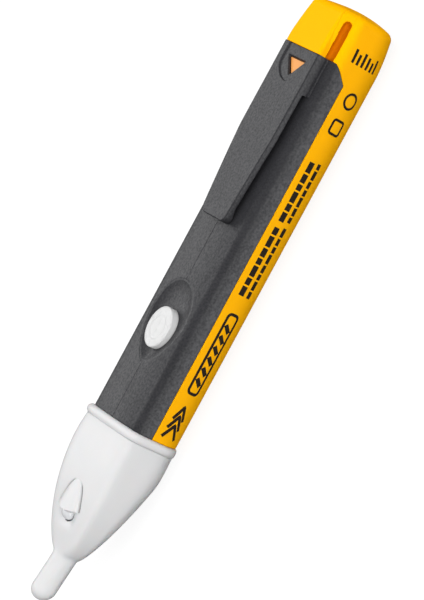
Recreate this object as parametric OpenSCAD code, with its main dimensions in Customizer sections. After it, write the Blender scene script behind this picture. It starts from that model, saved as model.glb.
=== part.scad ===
/* [Overall] */
// Overall length, from the probe tip to the end of the cap
overall_l = 150; // [148:0.5:152]
// Width of the body across the thumb
body_w = 20.5; // [20.3:0.1:21.5]
// Depth of the body, from the flat back to the middle of the front face
body_d = 16.5; // [16.5:0.1:17]
// Radius of the corners between the front face and the sides
front_corner_r = 2.5; // [2.2:0.1:3]
// Radius of the round flanks between the back and the sides
back_corner_r = 9.5; // [9:0.1:10]
// How far the flat back is cut into the round flanks
back_sink = 0.6; // [0.5:0.05:0.7]
// Radius of the gentle crown of the front face
front_crown_r = 56; // [50:1:90]
// Wall thickness of the mouldings
wall = 1.4; // [1.3:0.05:1.5]

/* [Nose] */
// Length of the nose, from the probe tip to the body
nose_l = 44.4; // [44:0.2:45]
// Length of the thin probe at the tip
probe_l = 11.8; // [11:0.2:12.5]
// Radius of the thin probe
probe_r = 2.9; // [2.8:0.1:3.1]
// Width of the bead between the nose and the body
bead_w = 2.5; // [2.2:0.1:2.8]
// How far the bead stands out from the body
bead_out = 0.95; // [0.7:0.05:1.1]

/* [Front shell] */
// Height of the seam between the front shell and the battery tray
seam_z = 11.2; // [11:0.1:11.4]
// Length of the end cap
cap_l = 12.9; // [12.5:0.1:13.2]
// Length and height of the sloped corner where the shell meets the cap
corner_cut = [3.6, 4.1]; // [3:0.1:4.5]
// Distance from the probe tip to the middle of the button
button_s = 67.1; // [66.8:0.1:67.4]
// Length and width of the thumb recess
recess_size = [20.4, 14.2]; // [14:0.1:20.6]
// Depth of the thumb recess
recess_depth = 1.1; // [0.9:0.05:1.1]

/* [Push button] */
// Length and width of the button
button_size = [9.9, 8.2]; // [8:0.1:10]
// How far the button's face stands above the front face
button_rise = 0.6; // [0.4:0.1:0.8]
// Travel of the button
button_travel = 0.45; // [0.3:0.05:0.45]

/* [Pocket clip] */
// Height of the clip above the middle of the front face
clip_rise = 2.4; // [2.3:0.05:2.6]
// Width of the clip at its root
clip_w = 13.8; // [13.4:0.1:14]
// Width of the clip at its free end
clip_end_w = 9.6; // [9:0.1:11]
// Thickness of the clip's blade
clip_t = 1.5; // [1.4:0.05:1.6]
// Distance from the probe tip to the clip's free end
clip_end_s = 94.4; // [92:0.2:97]

/* [Batteries] */
// Diameter of an AAA cell
cell_d = 10.5; // [10.3:0.1:10.5]
// Length of an AAA cell, with its positive stud
cell_l = 44.5; // [44:0.1:44.5]

/* [Hidden] */
$fn = 64;
e = 0.02;
gap = 0.06;

tip_x = -overall_l / 2;
cap_x1 = overall_l / 2;
cap_x0 = cap_x1 - cap_l;
shell_x0 = tip_x + nose_l;
bead_x0 = shell_x0 - bead_w;
button_x = tip_x + button_s;
clip_end_x = tip_x + clip_end_s;
half_w = body_w / 2;
crown_half = half_w - front_corner_r;
crown_fall = front_crown_r - sqrt(pow(front_crown_r, 2) - pow(crown_half, 2));
shoulder_z = body_d - crown_fall;
clip_top = body_d + clip_rise;

// Clip root and window
root_x0 = cap_x0 - 9.6;
pivot_z = clip_top - 1.2;
knuckle_r = 1.0;
run_gap = 0.05;
window_x0 = cap_x0 - 6.8;
window_x1 = cap_x0 - 2.9;
window_w = 6.7;
latch_top = clip_top - 1;
bridge_z = latch_top + 0.1;

// Stack of parts under the front face
floor_t = 1.2;
cell_z = floor_t + 0.05 + cell_d / 2;
board_z0 = 12.0;
board_t = 0.8;
board_z1 = board_z0 + board_t;
pad_z0 = 14.6;
recess_z = body_d - recess_depth;
flange_z0 = 13.97;
flange_z1 = 14.5;
switch_h = 0.7;
plunger_z1 = 13.95;
plunger_z0 = 13.3;
plunger_r = 1.0;

// Run of the two cells
cell_x1 = cap_x1 - 5;
cell_mid_x = cell_x1 - cell_l;
cell_x0 = cell_mid_x - cell_l;

// Board and its screws
board_x0 = tip_x + 27;
board_x1 = button_x + 15;
board_w = 15.4;
board_nose_w = 11;
screw_y = 6.1;
screw_xs = [shell_x0 + 8.8, button_x + 12.6];
screw_r = 0.7;
screw_head_r = 1.25;

// Torch lamp
lamp_s = 21.4;
lamp_z = 14.6;
lamp_r = 1.7;
lamp_tilt = 14;

// Nose sections
neck_s = probe_l;
bulge_s = 36.7;
mid_z = 9.3;
probe_rise = 0.11;
neck_r = 3.2;
bulge_half_w = half_w + 0.5;
bulge_front = body_d + 0.5 - mid_z;
nose_wall = 1.1;
spigot_in = wall + 0.2;
spigot_t = 0.9;
ring_n = 44;

// Return strip beside the cells
strip_t = 0.3;
strip_y = -half_w + wall + 0.85;
strip_z = [6.1, 9];
finger_x = cell_x0 + 5;

// Extrudes a section in the Y-Z plane along X
module along_x(x0, x1) {
    translate([x0, 0, 0])
        rotate([90, 0, 90])
            linear_extrude(height = x1 - x0)
                children();
}

// Extrudes a side view in the X-Z plane across the width
module along_y(y0, y1) {
    translate([0, y1, 0])
        rotate([90, 0, 0])
            linear_extrude(height = y1 - y0)
                children();
}

module box(x, y, z) {
    translate([x[0], y[0], z[0]])
        cube([x[1] - x[0], y[1] - y[0], z[1] - z[0]]);
}

// A slot-shaped outline in the X-Y plane: two half circles and a straight part
module stadium(length, width) {
    r = width / 2;
    offset_x = length / 2 - r;
    square([2 * offset_x, width], center = true);
    for (side = [-1, 1])
        translate([side * offset_x, 0])
            circle(r = r);
}

// The body's cross-section, drawn inwards by inset
module body_section(inset = 0) {
    front_r = max(0.4, front_corner_r - inset);
    back_r = back_corner_r - inset;
    back_c = [half_w - back_corner_r, back_corner_r - back_sink];
    side = half_w - inset;
    top = shoulder_z - inset;
    for (s = [-1, 1])
        translate([s * (side - front_r), top - front_r])
            circle(r = front_r);
    // Round flanks, cut off level by the flat back
    intersection() {
        union() {
            for (s = [-1, 1])
                translate([s * back_c[0], back_c[1]])
                    circle(r = back_r);
            translate([-back_c[0], back_c[1] - back_r])
                square([2 * back_c[0], back_r]);
        }
        translate([-half_w, inset])
            square([body_w, back_c[1] - inset + e]);
    }
    translate([-side, back_c[1]])
        square([2 * side, top - front_r - back_c[1]]);
    translate([-side + front_r, top - front_r - e])
        square([2 * (side - front_r), front_r + e]);
    intersection() {
        translate([-crown_half, top - 2])
            square([2 * crown_half, 4]);
        translate([0, body_d - front_crown_r])
            circle(r = front_crown_r - inset, $fn = 200);
    }
}

// The side view of what lies in front of the seam, moved out of it by clear
module seam_side(clear) {
    x1 = cap_x0 - clear;
    polygon([
        [shell_x0, seam_z + clear],
        [cap_x0 - corner_cut[0] - clear, seam_z + clear],
        [x1, seam_z + corner_cut[1]],
        [x1, clip_top + 1],
        [shell_x0, clip_top + 1]
    ]);
}

// A tube that follows a list of points, for wires and coils
module swept_wire(path, r, sides = 8) {
    n = len(path);
    function tangent(i) =
        let (d = path[min(n - 1, i + 1)] - path[max(0, i - 1)])
        d / norm(d);
    function unit(v) = v / norm(v);
    function ring(i) =
        let (
            t = tangent(i),
            u = unit(cross(t, abs(t[2]) < 0.9 ? [0, 0, 1] : [0, 1, 0])),
            v = cross(t, u)
        )
        [for (k = [0 : sides - 1])
            path[i] + r * (u * cos(360 * k / sides) + v * sin(360 * k / sides))];
    points = [for (i = [0 : n - 1]) each ring(i)];
    skin = [for (i = [0 : n - 2], k = [0 : sides - 1])
        let (
            a = i * sides + k,
            b = i * sides + (k + 1) % sides
        )
        each [[a, b, b + sides], [a, b + sides, a + sides]]];
    first = [[for (k = [sides - 1 : -1 : 0]) k]];
    last = [[for (k = [0 : sides - 1]) (n - 1) * sides + k]];
    polyhedron(points = points, faces = concat(skin, first, last));
}

// ---- Front shell ----

module screw_bosses() {
    for (x = screw_xs, s = [-1, 1])
        translate([x, s * screw_y, board_z1 + e])
            cylinder(r = 1.6, h = 15.2 - board_z1, $fn = 32);
}

module screw_holes() {
    for (x = screw_xs, s = [-1, 1])
        translate([x, s * screw_y, board_z1 - 1])
            cylinder(r = screw_r + e, h = 2.6, $fn = 32);
}

module thumb_recess() {
    scoop_r = (pow(recess_size[0] / 2, 2) + pow(recess_depth, 2)) / (2 * recess_depth);
    intersection() {
        translate([button_x, 0, pad_z0])
            linear_extrude(height = 4)
                stadium(recess_size[0], recess_size[1]);
        translate([button_x, 0, recess_z + scoop_r])
            rotate([90, 0, 0])
                cylinder(r = scoop_r, h = body_w, center = true, $fn = 200);
    }
}

module window_outline(grow = 0) {
    polygon([
        [window_x0 - 2 * grow, 0],
        [window_x1 + grow, -window_w / 2 - 2 * grow],
        [window_x1 + grow, window_w / 2 + 2 * grow]
    ]);
}

module front_shell() {
    color("dimgray")
    difference() {
        union() {
            intersection() {
                along_x(shell_x0, cap_x0)
                    body_section();
                along_y(-half_w - 1, half_w + 1)
                    seam_side(gap / 2);
                difference() {
                    box([shell_x0 - 1, cap_x0 + 1], [-half_w - 1, half_w + 1], [0, clip_top + 2]);
                    along_x(shell_x0 - 2, cap_x0 + 2)
                        body_section(wall);
                }
            }
            // Root of the clip
            box([root_x0 + 0.3, cap_x0 - gap / 2], [-clip_w / 2, clip_w / 2], [15.6, clip_top]);
            // Thicker floor under the thumb recess
            intersection() {
                along_x(button_x - 11.5, button_x + 11)
                    body_section(wall / 2);
                box([button_x - 12, button_x + 12], [-half_w, half_w], [pad_z0, body_d - 0.6]);
            }
            screw_bosses();
        }
        screw_holes();
        thumb_recess();
        translate([button_x, 0, pad_z0 - 1])
            linear_extrude(height = 4)
                stadium(button_size[0] + 0.24, button_size[1] + 0.24);
        // Window and the channel behind it that the latch slides out of
        translate([0, 0, bridge_z - e])
            linear_extrude(height = 4)
                window_outline();
        box([window_x0 - 0.8, cap_x0 + 1], [-3.9, 3.9], [wall, bridge_z]);
        // Socket for the clip's knuckle
        translate([root_x0, 0, pivot_z])
            rotate([90, 0, 0])
                cylinder(r = knuckle_r + run_gap, h = clip_w + 2, center = true);
        // Grooves that hold the tray's ribs
        for (s = [-1, 1])
            translate([0, s * (half_w - wall + 0.1), 0])
                box([shell_x0 + 5.5, cap_x0 + 1], [-0.4, 0.4], [11.55, 12.25]);
        // Sockets for the nose's snap studs
        for (s = [-1, 1])
            translate([shell_x0 + 2.8, s * (half_w - wall), 13.2])
                rotate([90, 0, 0])
                    cylinder(r = 0.85, h = 1.2, center = true, $fn = 32);
    }
}

// ---- Pocket clip ----

module clip_plan() {
    end_r = 1.4;
    difference() {
        polygon([
            [root_x0, -clip_w / 2],
            [root_x0, clip_w / 2],
            [root_x0 - 12, clip_w / 2 - 0.1],
            [clip_end_x, clip_end_w / 2],
            [clip_end_x, -clip_end_w / 2],
            [root_x0 - 12, -clip_w / 2 + 0.1]
        ]);
        // Rounded corners at the free end
        for (s = [-1, 1])
            translate([clip_end_x + end_r, s * (clip_end_w / 2 - end_r)])
                difference() {
                    translate([-end_r - 1, s > 0 ? 0 : -end_r - 1])
                        square([end_r + 1, end_r + 1]);
                    circle(r = end_r, $fn = 32);
                }
    }
}

// Side view of the blade: a shallow bow, with a grip at the free end
module clip_side() {
    run = root_x0 - clip_end_x;
    bow = 0.2;
    steps = 16;
    function top(t) = clip_top - 0.15 * t + bow * sin(180 * t);
    polygon(concat(
        [for (i = [0 : steps]) let (t = i / steps) [root_x0 - t * run, top(t)]],
        [[clip_end_x, body_d + 0.15],
         [clip_end_x + 1.6, body_d + 0.15],
         [clip_end_x + 3.6, top(1) - clip_t]],
        [for (i = [steps - 2 : -1 : 0])
            let (t = i / steps) [root_x0 - t * run, top(t) - clip_t]]
    ));
}

module pocket_clip() {
    color("dimgray")
    union() {
        intersection() {
            along_y(-clip_w, clip_w)
                clip_side();
            translate([0, 0, body_d - 1])
                linear_extrude(height = 6)
                    clip_plan();
        }
        translate([root_x0, 0, pivot_z])
            rotate([90, 0, 0])
                cylinder(r = knuckle_r, h = clip_w, center = true);
    }
}

// ---- Battery tray with its end cap ----

// Plan of the cap, with rounded corners and a slightly domed end
module cap_plan() {
    corner_r = 4;
    dome_r = 60;
    intersection() {
        union() {
            translate([shell_x0 - 1, -half_w])
                square([cap_x1 - corner_r - shell_x0 + 1, body_w]);
            translate([cap_x0, -half_w + corner_r])
                square([cap_l, body_w - 2 * corner_r]);
            for (s = [-1, 1])
                translate([cap_x1 - corner_r, s * (half_w - corner_r)])
                    circle(r = corner_r);
        }
        union() {
            translate([cap_x1 - dome_r, 0])
                circle(r = dome_r, $fn = 200);
            translate([shell_x0 - 1, -half_w])
                square([cap_x0 - shell_x0 + 1, body_w]);
        }
    }
}

// Side view of the cap, rounded at the top and at the back
module cap_side() {
    top_r = 3;
    low_r = 4;
    union() {
        translate([shell_x0 - 1, 0])
            square([cap_x1 - low_r - shell_x0 + 1, clip_top - top_r]);
        translate([shell_x0 - 1, top_r])
            square([cap_x1 - top_r - shell_x0 + 1, clip_top - top_r]);
        translate([cap_x0, low_r])
            square([cap_l, clip_top - top_r - low_r]);
        translate([cap_x1 - top_r, clip_top - top_r])
            circle(r = top_r);
        translate([cap_x1 - low_r, low_r])
            circle(r = low_r);
    }
}

module cradle_rib(x) {
    difference() {
        intersection() {
            along_x(x, x + 1.2)
                body_section(wall / 2);
            box([x, x + 1.2], [-half_w, half_w], [0.5, 9.6]);
        }
        along_x(x - 1, x + 3)
            translate([0, cell_z])
                circle(r = cell_d / 2 + 0.05);
        box([x - 1, x + 3], [strip_y - 0.1, strip_y + strip_t + 0.1], [strip_z[0] - 0.1, 10]);
    }
}

module side_lip(s) {
    lip_out = half_w - wall - 0.1;
    lip_in = lip_out - 0.85;
    y = s > 0 ? [lip_in, half_w - wall + 0.2] : [-half_w + wall - 0.2, -lip_in];
    y_thin = s > 0 ? [lip_in, lip_out] : [-lip_out, -lip_in];
    y_rib = s > 0 ? [lip_in + 0.3, lip_out + 0.4] : [-lip_out - 0.4, -lip_in - 0.3];
    lip_x = [shell_x0 + 6, cap_x0 + 0.5];
    box(lip_x, y, [10, seam_z - 0.1]);
    box(lip_x, y_thin, [10, 12.2]);
    box(lip_x, y_rib, [11.65, 12.15]);
}

module latch_cheeks() {
    for (s = [-1, 1])
        translate([0, s * 4.9, 0])
            difference() {
                box([cap_x0 + 0.6, cap_x0 + 4.6], [-0.9, 0.9], [12.3, 15.6]);
                translate([cap_x0 + 2.2, 0, 14])
                    rotate([90, 0, 0])
                        cylinder(r = 0.8 + run_gap, h = 3, center = true, $fn = 32);
            }
}

module battery_tray() {
    color("gold")
    difference() {
        union() {
            difference() {
                intersection() {
                    union() {
                        along_x(shell_x0 + gap, cap_x1)
                            body_section();
                        box([cap_x0 + gap / 2, cap_x1], [-clip_w / 2, clip_w / 2], [15, clip_top]);
                    }
                    along_y(-half_w - 1, half_w + 1)
                        cap_side();
                    translate([0, 0, -1])
                        linear_extrude(height = clip_top + 2)
                            cap_plan();
                }
                along_y(-half_w - 1, half_w + 1)
                    translate([-1, 0])
                        seam_side(-gap / 2);
                along_y(-half_w - 1, half_w + 1)
                    seam_side(-gap / 2);
                along_x(shell_x0 - 1, cap_x1 - 1.6)
                    intersection() {
                        body_section(wall);
                        translate([-half_w, 0])
                            square([body_w, body_d - wall]);
                    }
            }
            for (x = [cell_x0 + 12, cell_mid_x - 6, cell_mid_x + 6, cell_x1 - 12])
                cradle_rib(x);
            for (s = [-1, 1])
                side_lip(s);
            latch_cheeks();
        }
        // Seat for the two cells
        along_x(cell_x0 - 1, cell_x1 + 0.2)
            translate([0, cell_z])
                circle(r = cell_d / 2 + 0.05);
        // Opening in the cap's front face for the latch
        box([cap_x0 - 1, cap_x0 + 4.4], [-3.95, 3.95], [12, 15.05]);
    }
}

module latch_tab() {
    pin_x = cap_x0 + 2.2;
    color("orange")
    union() {
        box([window_x0 - 0.4, pin_x], [-3.7, 3.7], [13.4, 14.6]);
        translate([0, 0, 14])
            linear_extrude(height = latch_top - 14)
                window_outline(-0.12);
        translate([pin_x, 0, 14])
            rotate([90, 0, 0])
                cylinder(r = 0.8, h = 11.4, center = true, $fn = 32);
    }
}

// ---- Nose ----

function clamp01(t) = max(0, min(1, t));
function smooth(t) = let (c = clamp01(t)) c * c * (3 - 2 * c);
function signed_pow(v, p) = v < 0 ? -pow(-v, p) : pow(v, p);

// Growth of the front half from the neck to the bulge
function swell(t) = pow(1 - pow(1 - t, 2), 0.72);

// Growth of the back half: nearly straight, with a heel before the bulge
function heel(t) = min(1, t + 0.2 * smooth((t - 0.6) / 0.2));

// Section at distance s from the tip: half width, front height, back height,
// height of its middle, and the squareness of its front and back
function nose_section(s, inset = 0) =
    s < neck_s
    ? let (
        end = probe_r,
        r = s < end ? end * sqrt(1 - pow(1 - s / end, 2)) : probe_r
      )
      [max(0.05, r - inset), max(0.05, r - inset), max(0.05, r - inset),
       mid_z + probe_rise * (neck_s - s), 2, 2]
    : let (
        t = clamp01((s - neck_s) / (bulge_s - neck_s)),
        back_in = 0.25 * pow(clamp01((s - bulge_s) / (nose_l - bead_w - bulge_s)), 2)
      )
      [neck_r + (bulge_half_w - neck_r) * swell(t) - back_in - inset,
       neck_r + (bulge_front - neck_r) * swell(t) - back_in - inset,
       neck_r + (mid_z - neck_r) * heel(t) - inset,
       mid_z, 2 + 4.5 * t, 2 + 0.65 * t];

// The bead, which stands out from the body but is level with its flat back
function bead_section(grow) =
    [half_w + grow, body_d - mid_z + grow, mid_z, mid_z, 6, 2.4];

// The spigot that plugs into the body, drawn inwards by inset
function spigot_section(inset) =
    [half_w - inset, shoulder_z - mid_z - inset + 0.2, mid_z - inset, mid_z, 6, 2.4];

// One ring of points for a section
function nose_ring(x, q) =
    [for (k = [0 : ring_n - 1])
        let (
            a = 360 * (k + 0.5) / ring_n,
            up = sin(a) >= 0,
            p = 2 / (up ? q[4] : q[5])
        )
        [x,
         q[0] * signed_pow(cos(a), p),
         q[3] + (up ? q[1] : q[2]) * signed_pow(sin(a), p)]];

module nose_skin() {
    bead_steps = 6;
    outer_s = concat(
        [for (i = [1 : 4]) probe_r * (1 - cos(90 * i / 4))],
        [neck_s - 0.6],
        [for (t = [0.004, 0.02, 0.05, 0.09, 0.15, 0.23, 0.32, 0.42, 0.52, 0.62, 0.7, 0.76, 0.8, 0.88, 1])
            neck_s + t * (bulge_s - neck_s)],
        [nose_l - bead_w - 2, nose_l - bead_w]
    );
    inner_s = [for (t = [1, 0.86, 0.72, 0.58, 0.44, 0.31, 0.2, 0.1, 0.03])
        neck_s + 1 + t * (bulge_s - neck_s - 1)];
    spigot_x = shell_x0 + 5.2;
    rings = concat(
        [for (s = outer_s) nose_ring(tip_x + s, nose_section(s))],
        [for (i = [0 : bead_steps])
            let (a = 180 * i / bead_steps)
            nose_ring(bead_x0 + bead_w / 2 * (1 - cos(a)), bead_section(0.1 + (bead_out - 0.1) * sin(a)))],
        [nose_ring(shell_x0, spigot_section(spigot_in)),
         nose_ring(spigot_x, spigot_section(spigot_in)),
         nose_ring(spigot_x, spigot_section(spigot_in + spigot_t)),
         nose_ring(shell_x0 - 2, spigot_section(spigot_in + spigot_t))],
        [for (s = inner_s) nose_ring(tip_x + s, nose_section(s, nose_wall))],
        [nose_ring(tip_x + neck_s - 1, nose_section(neck_s - 1, nose_wall)),
         nose_ring(tip_x + 3.2, nose_section(3.2, nose_wall))]
    );
    n = len(rings);
    start = [tip_x, 0, mid_z + probe_rise * neck_s];
    finish = [tip_x + 1.6, 0, mid_z + probe_rise * (neck_s - 1.6)];
    points = concat([start], [for (r = rings) each r], [finish]);
    last = len(points) - 1;
    skin = [for (i = [0 : n - 2], k = [0 : ring_n - 1])
        let (
            a = 1 + i * ring_n + k,
            b = 1 + i * ring_n + (k + 1) % ring_n
        )
        each [[a, b, b + ring_n], [a, b + ring_n, a + ring_n]]];
    front = [for (k = [0 : ring_n - 1]) [0, 1 + (k + 1) % ring_n, 1 + k]];
    back = [for (k = [0 : ring_n - 1])
        [last, 1 + (n - 1) * ring_n + k, 1 + (n - 1) * ring_n + (k + 1) % ring_n]];
    polyhedron(points = points, faces = concat(front, skin, back), convexity = 6);
}

module at_lamp() {
    translate([tip_x + lamp_s, 0, lamp_z])
        rotate([0, 90 - lamp_tilt, 0])
            children();
}

module nose_cone() {
    color("whitesmoke")
    difference() {
        nose_skin();
        // Seat of the torch lamp
        at_lamp()
            translate([0, 0, -4])
                cylinder(r = lamp_r + 0.06, h = 9, $fn = 32);
    }
}

// ---- Button and switch ----

module push_button() {
    top = body_d + button_rise;
    color("white")
    translate([button_x, 0, 0])
        union() {
            translate([0, 0, flange_z0])
                linear_extrude(height = flange_z1 - flange_z0)
                    stadium(button_size[0] + 1.4, button_size[1] + 1.4);
            translate([0, 0, flange_z1 - e])
                linear_extrude(height = top - flange_z1 - 0.3 + e)
                    stadium(button_size[0], button_size[1]);
            translate([0, 0, top - 0.3 - e])
                linear_extrude(height = 0.3 + e)
                    stadium(button_size[0] - 0.5, button_size[1] - 0.5);
        }
}

module switch_plunger() {
    color("black")
    translate([button_x, 0, plunger_z0])
        cylinder(r = plunger_r, h = plunger_z1 - plunger_z0, $fn = 32);
}

module tact_switch() {
    half = 2.3;
    color("silver")
    difference() {
        union() {
            box([button_x - half, button_x + half], [-half, half], [board_z1, board_z1 + switch_h]);
            for (sx = [-1, 1], sy = [-1, 1])
                translate([button_x + sx * (half + 0.3), sy * 1.4, board_z1 + 0.1])
                    cube([1.2, 0.7, 0.2], center = true);
        }
        translate([button_x, 0, board_z1 - 1])
            cylinder(r = plunger_r + run_gap, h = 3, $fn = 32);
    }
}

// ---- Board and what it carries ----

module circuit_board() {
    neck_x = shell_x0 + 5.5;
    color("seagreen")
    difference() {
        translate([0, 0, board_z0])
            linear_extrude(height = board_t)
                polygon([
                    [board_x0, -board_nose_w / 2 + 1],
                    [board_x0 + 1, -board_nose_w / 2],
                    [neck_x, -board_nose_w / 2 - 1],
                    [neck_x + 1, -board_w / 2],
                    [board_x1, -board_w / 2],
                    [board_x1, board_w / 2],
                    [neck_x + 1, board_w / 2],
                    [neck_x, board_nose_w / 2 + 1],
                    [board_x0 + 1, board_nose_w / 2],
                    [board_x0, board_nose_w / 2 - 1]
                ]);
        for (x = screw_xs, s = [-1, 1])
            translate([x, s * screw_y, board_z0 - 1])
                cylinder(r = screw_r + 0.1, h = 3, $fn = 32);
    }
}

module board_screws() {
    color("lightgray")
    for (x = screw_xs, s = [-1, 1])
        translate([x, s * screw_y, 0])
            difference() {
                union() {
                    translate([0, 0, board_z0 - 0.9])
                        cylinder(r = screw_head_r, h = 0.9, $fn = 32);
                    translate([0, 0, board_z0 - e])
                        cylinder(r = screw_r, h = 2.3, $fn = 32);
                }
                for (a = [0, 90])
                    translate([0, 0, board_z0 - 0.9])
                        rotate([0, 0, a])
                            cube([1.4, 0.35, 0.8], center = true);
            }
}

module controller_chip() {
    x = shell_x0 + 8.6;
    color("darkslategray")
    union() {
        box([x - 2.5, x + 2.5], [-2, 2], [board_z1 + 0.15, board_z1 + 1.3]);
        for (i = [-1.5 : 1 : 1.5], s = [-1, 1])
            translate([x + 1.27 * i, s * 2.5, board_z1 + 0.2])
                cube([0.4, 1.1, 0.36], center = true);
    }
}

module board_passives() {
    x = shell_x0 - 4;
    color("sienna")
    union() {
        for (i = [0 : 3], s = [-1, 1])
            translate([x - 2.6 * i, s * 3.4, board_z1 + 0.3])
                cube([1.6, 0.8, 0.56], center = true);
        for (i = [0 : 2])
            translate([shell_x0 + 13.2 + 2.2 * i, 2.6, board_z1 + 0.3])
                cube([0.8, 1.6, 0.56], center = true);
    }
}

module buzzer() {
    x = shell_x0 - 6.4;
    color("black")
    translate([x, 0, 0])
        difference() {
            translate([0, 0, board_z0 - 3.6])
                cylinder(r = 4.5, h = 3.6);
            translate([0, 0, board_z0 - 4.6])
                cylinder(r = 0.9, h = 1.6, $fn = 32);
        }
}

module torch_led() {
    color("ghostwhite")
    at_lamp()
        union() {
            translate([0, 0, -1.2])
                cylinder(r = lamp_r - 0.1, h = 4);
            translate([0, 0, -1.2])
                sphere(r = lamp_r - 0.1);
            translate([0, 0, 2.7])
                cylinder(r = lamp_r, h = 0.8);
        }
}

// Two legs run back from the lamp and end on the board
module torch_led_leads() {
    leg_x = tip_x + lamp_s + 3.45;
    color("silver")
    for (s = [-1, 1])
        translate([0, s * 0.8, 0])
            swept_wire([
                [leg_x, 0, lamp_z - 0.86],
                [leg_x + 1.6, 0, lamp_z - 1.2],
                [board_x0 + 1.6, 0, board_z1 + 0.35],
                [board_x0 + 3.2, 0, board_z1 + 0.25]
            ], 0.22);
}

module indicator_led() {
    x = board_x0 - 3.2;
    color("red")
    translate([x, 0, board_z0 - 1.6])
        rotate([0, 90, 0])
            union() {
                cylinder(r = 1.5, h = 2);
                sphere(r = 1.5);
                translate([0, 0, 2 - e])
                    cylinder(r = 1.75, h = 0.5);
            }
}

module indicator_led_leads() {
    x = board_x0 - 0.68;
    color("silver")
    for (s = [-1, 1])
        translate([0, s * 0.8, 0])
            union() {
                box([x, board_x0 + 2.5], [-0.2, 0.2], [board_z0 - 1.4, board_z0 - 1]);
                box([board_x0 + 2.1, board_x0 + 2.5], [-0.2, 0.2], [board_z0 - 1.4, board_z0 - e]);
            }
}

// ---- Sensor ----

module sensor_probe() {
    x0 = tip_x + 3.4;
    z0 = mid_z + probe_rise * (neck_s - 3.4);
    slope = atan(probe_rise);
    color("goldenrod")
    translate([x0, 0, z0])
        rotate([0, 90 + slope, 0])
            union() {
                cylinder(r = 0.9, h = 8.6, $fn = 32);
                translate([0, 0, 6.6])
                    cylinder(r = 1.2, h = 0.8, $fn = 32);
            }
}

module sensor_lead() {
    x0 = tip_x + 12.1;
    x1 = board_x0 + 1.4;
    z1 = board_z0 - 0.3;
    z0 = mid_z - 0.05;
    steps = 14;
    color("firebrick")
    swept_wire([for (i = [0 : steps])
        let (t = i / steps)
        [x0 + t * (x1 - x0), 3 * smooth(t), z0 + (z1 - z0) * smooth(t) - 1.5 * sin(180 * t)]], 0.35);
}

// ---- Contacts and cells ----

module front_contact() {
    x1 = cell_x0 - 0.05;
    color("goldenrod")
    union() {
        box([x1 - 0.3, x1], [-3, 3], [3.5, board_z0 - e]);
        box([x1 - 5, x1], [-3, 3], [board_z0 - 0.3 - e, board_z0 - e]);
    }
}

module contact_finger() {
    y0 = strip_y + strip_t + 0.05;
    color("goldenrod")
    union() {
        box([finger_x, finger_x + 3], [y0, y0 + 0.3], [6.2, board_z0 - e]);
        box([finger_x, finger_x + 3], [y0, y0 + 2], [board_z0 - 0.3 - e, board_z0 - e]);
    }
}

// A cell's can, with the joint ring of its jacket at each end
module cell_body(x1) {
    x0 = x1 - cell_l + 1;
    translate([x0, 0, cell_z])
        rotate([0, 90, 0])
            rotate_extrude()
                polygon([
                    [0, 0.4],
                    [cell_d / 2 - 0.9, 0.4],
                    [cell_d / 2 - 0.7, 0],
                    [cell_d / 2 - 0.3, 0],
                    [cell_d / 2, 0.4],
                    [cell_d / 2, cell_l - 1.5],
                    [cell_d / 2 - 0.5, cell_l - 1.05],
                    [0, cell_l - 1.05]
                ]);
}

module battery_front() {
    color("slategray")
    cell_body(cell_mid_x);
}

module battery_rear() {
    color("slategray")
    cell_body(cell_x1);
}

// The positive studs of the two cells
module battery_studs() {
    color("silver")
    for (x1 = [cell_mid_x, cell_x1])
        translate([x1 - cell_l, 0, cell_z])
            rotate([0, 90, 0])
                cylinder(r = 1.9, h = 1.4 - e, $fn = 32);
}

module cap_spring() {
    wire_r = 0.3;
    turns = 3.5;
    x0 = cell_x1 + wire_r + 0.02;
    x1 = cap_x1 - 2.25;
    steps = 70;
    color("silver")
    swept_wire([for (i = [0 : steps])
        let (
            t = i / steps,
            r = 2 + 1.9 * t,
            a = 360 * turns * t
        )
        [x0 + t * (x1 - x0), r * cos(a), cell_z + r * sin(a)]], wire_r);
}

module return_strip() {
    plate_x = cap_x1 - 1.9;
    color("goldenrod")
    union() {
        box([cell_x0 + 2.5, plate_x + strip_t], [strip_y, strip_y + strip_t], strip_z);
        box([plate_x, plate_x + strip_t], [strip_y, 0], strip_z);
        box([plate_x, plate_x + strip_t], [-4.4, 4.4], [cell_z - 4.4, cell_z + 4.4]);
    }
}

front_shell();
pocket_clip();
battery_tray();
latch_tab();
nose_cone();
push_button();
switch_plunger();
tact_switch();
circuit_board();
controller_chip();
board_passives();
board_screws();
buzzer();
torch_led();
torch_led_leads();
indicator_led();
indicator_led_leads();
sensor_probe();
sensor_lead();
front_contact();
contact_finger();
battery_front();
battery_rear();
battery_studs();
cap_spring();
return_strip();
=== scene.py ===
import math

import bmesh
import bpy
import numpy as np
from mathutils import Matrix, Vector


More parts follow.
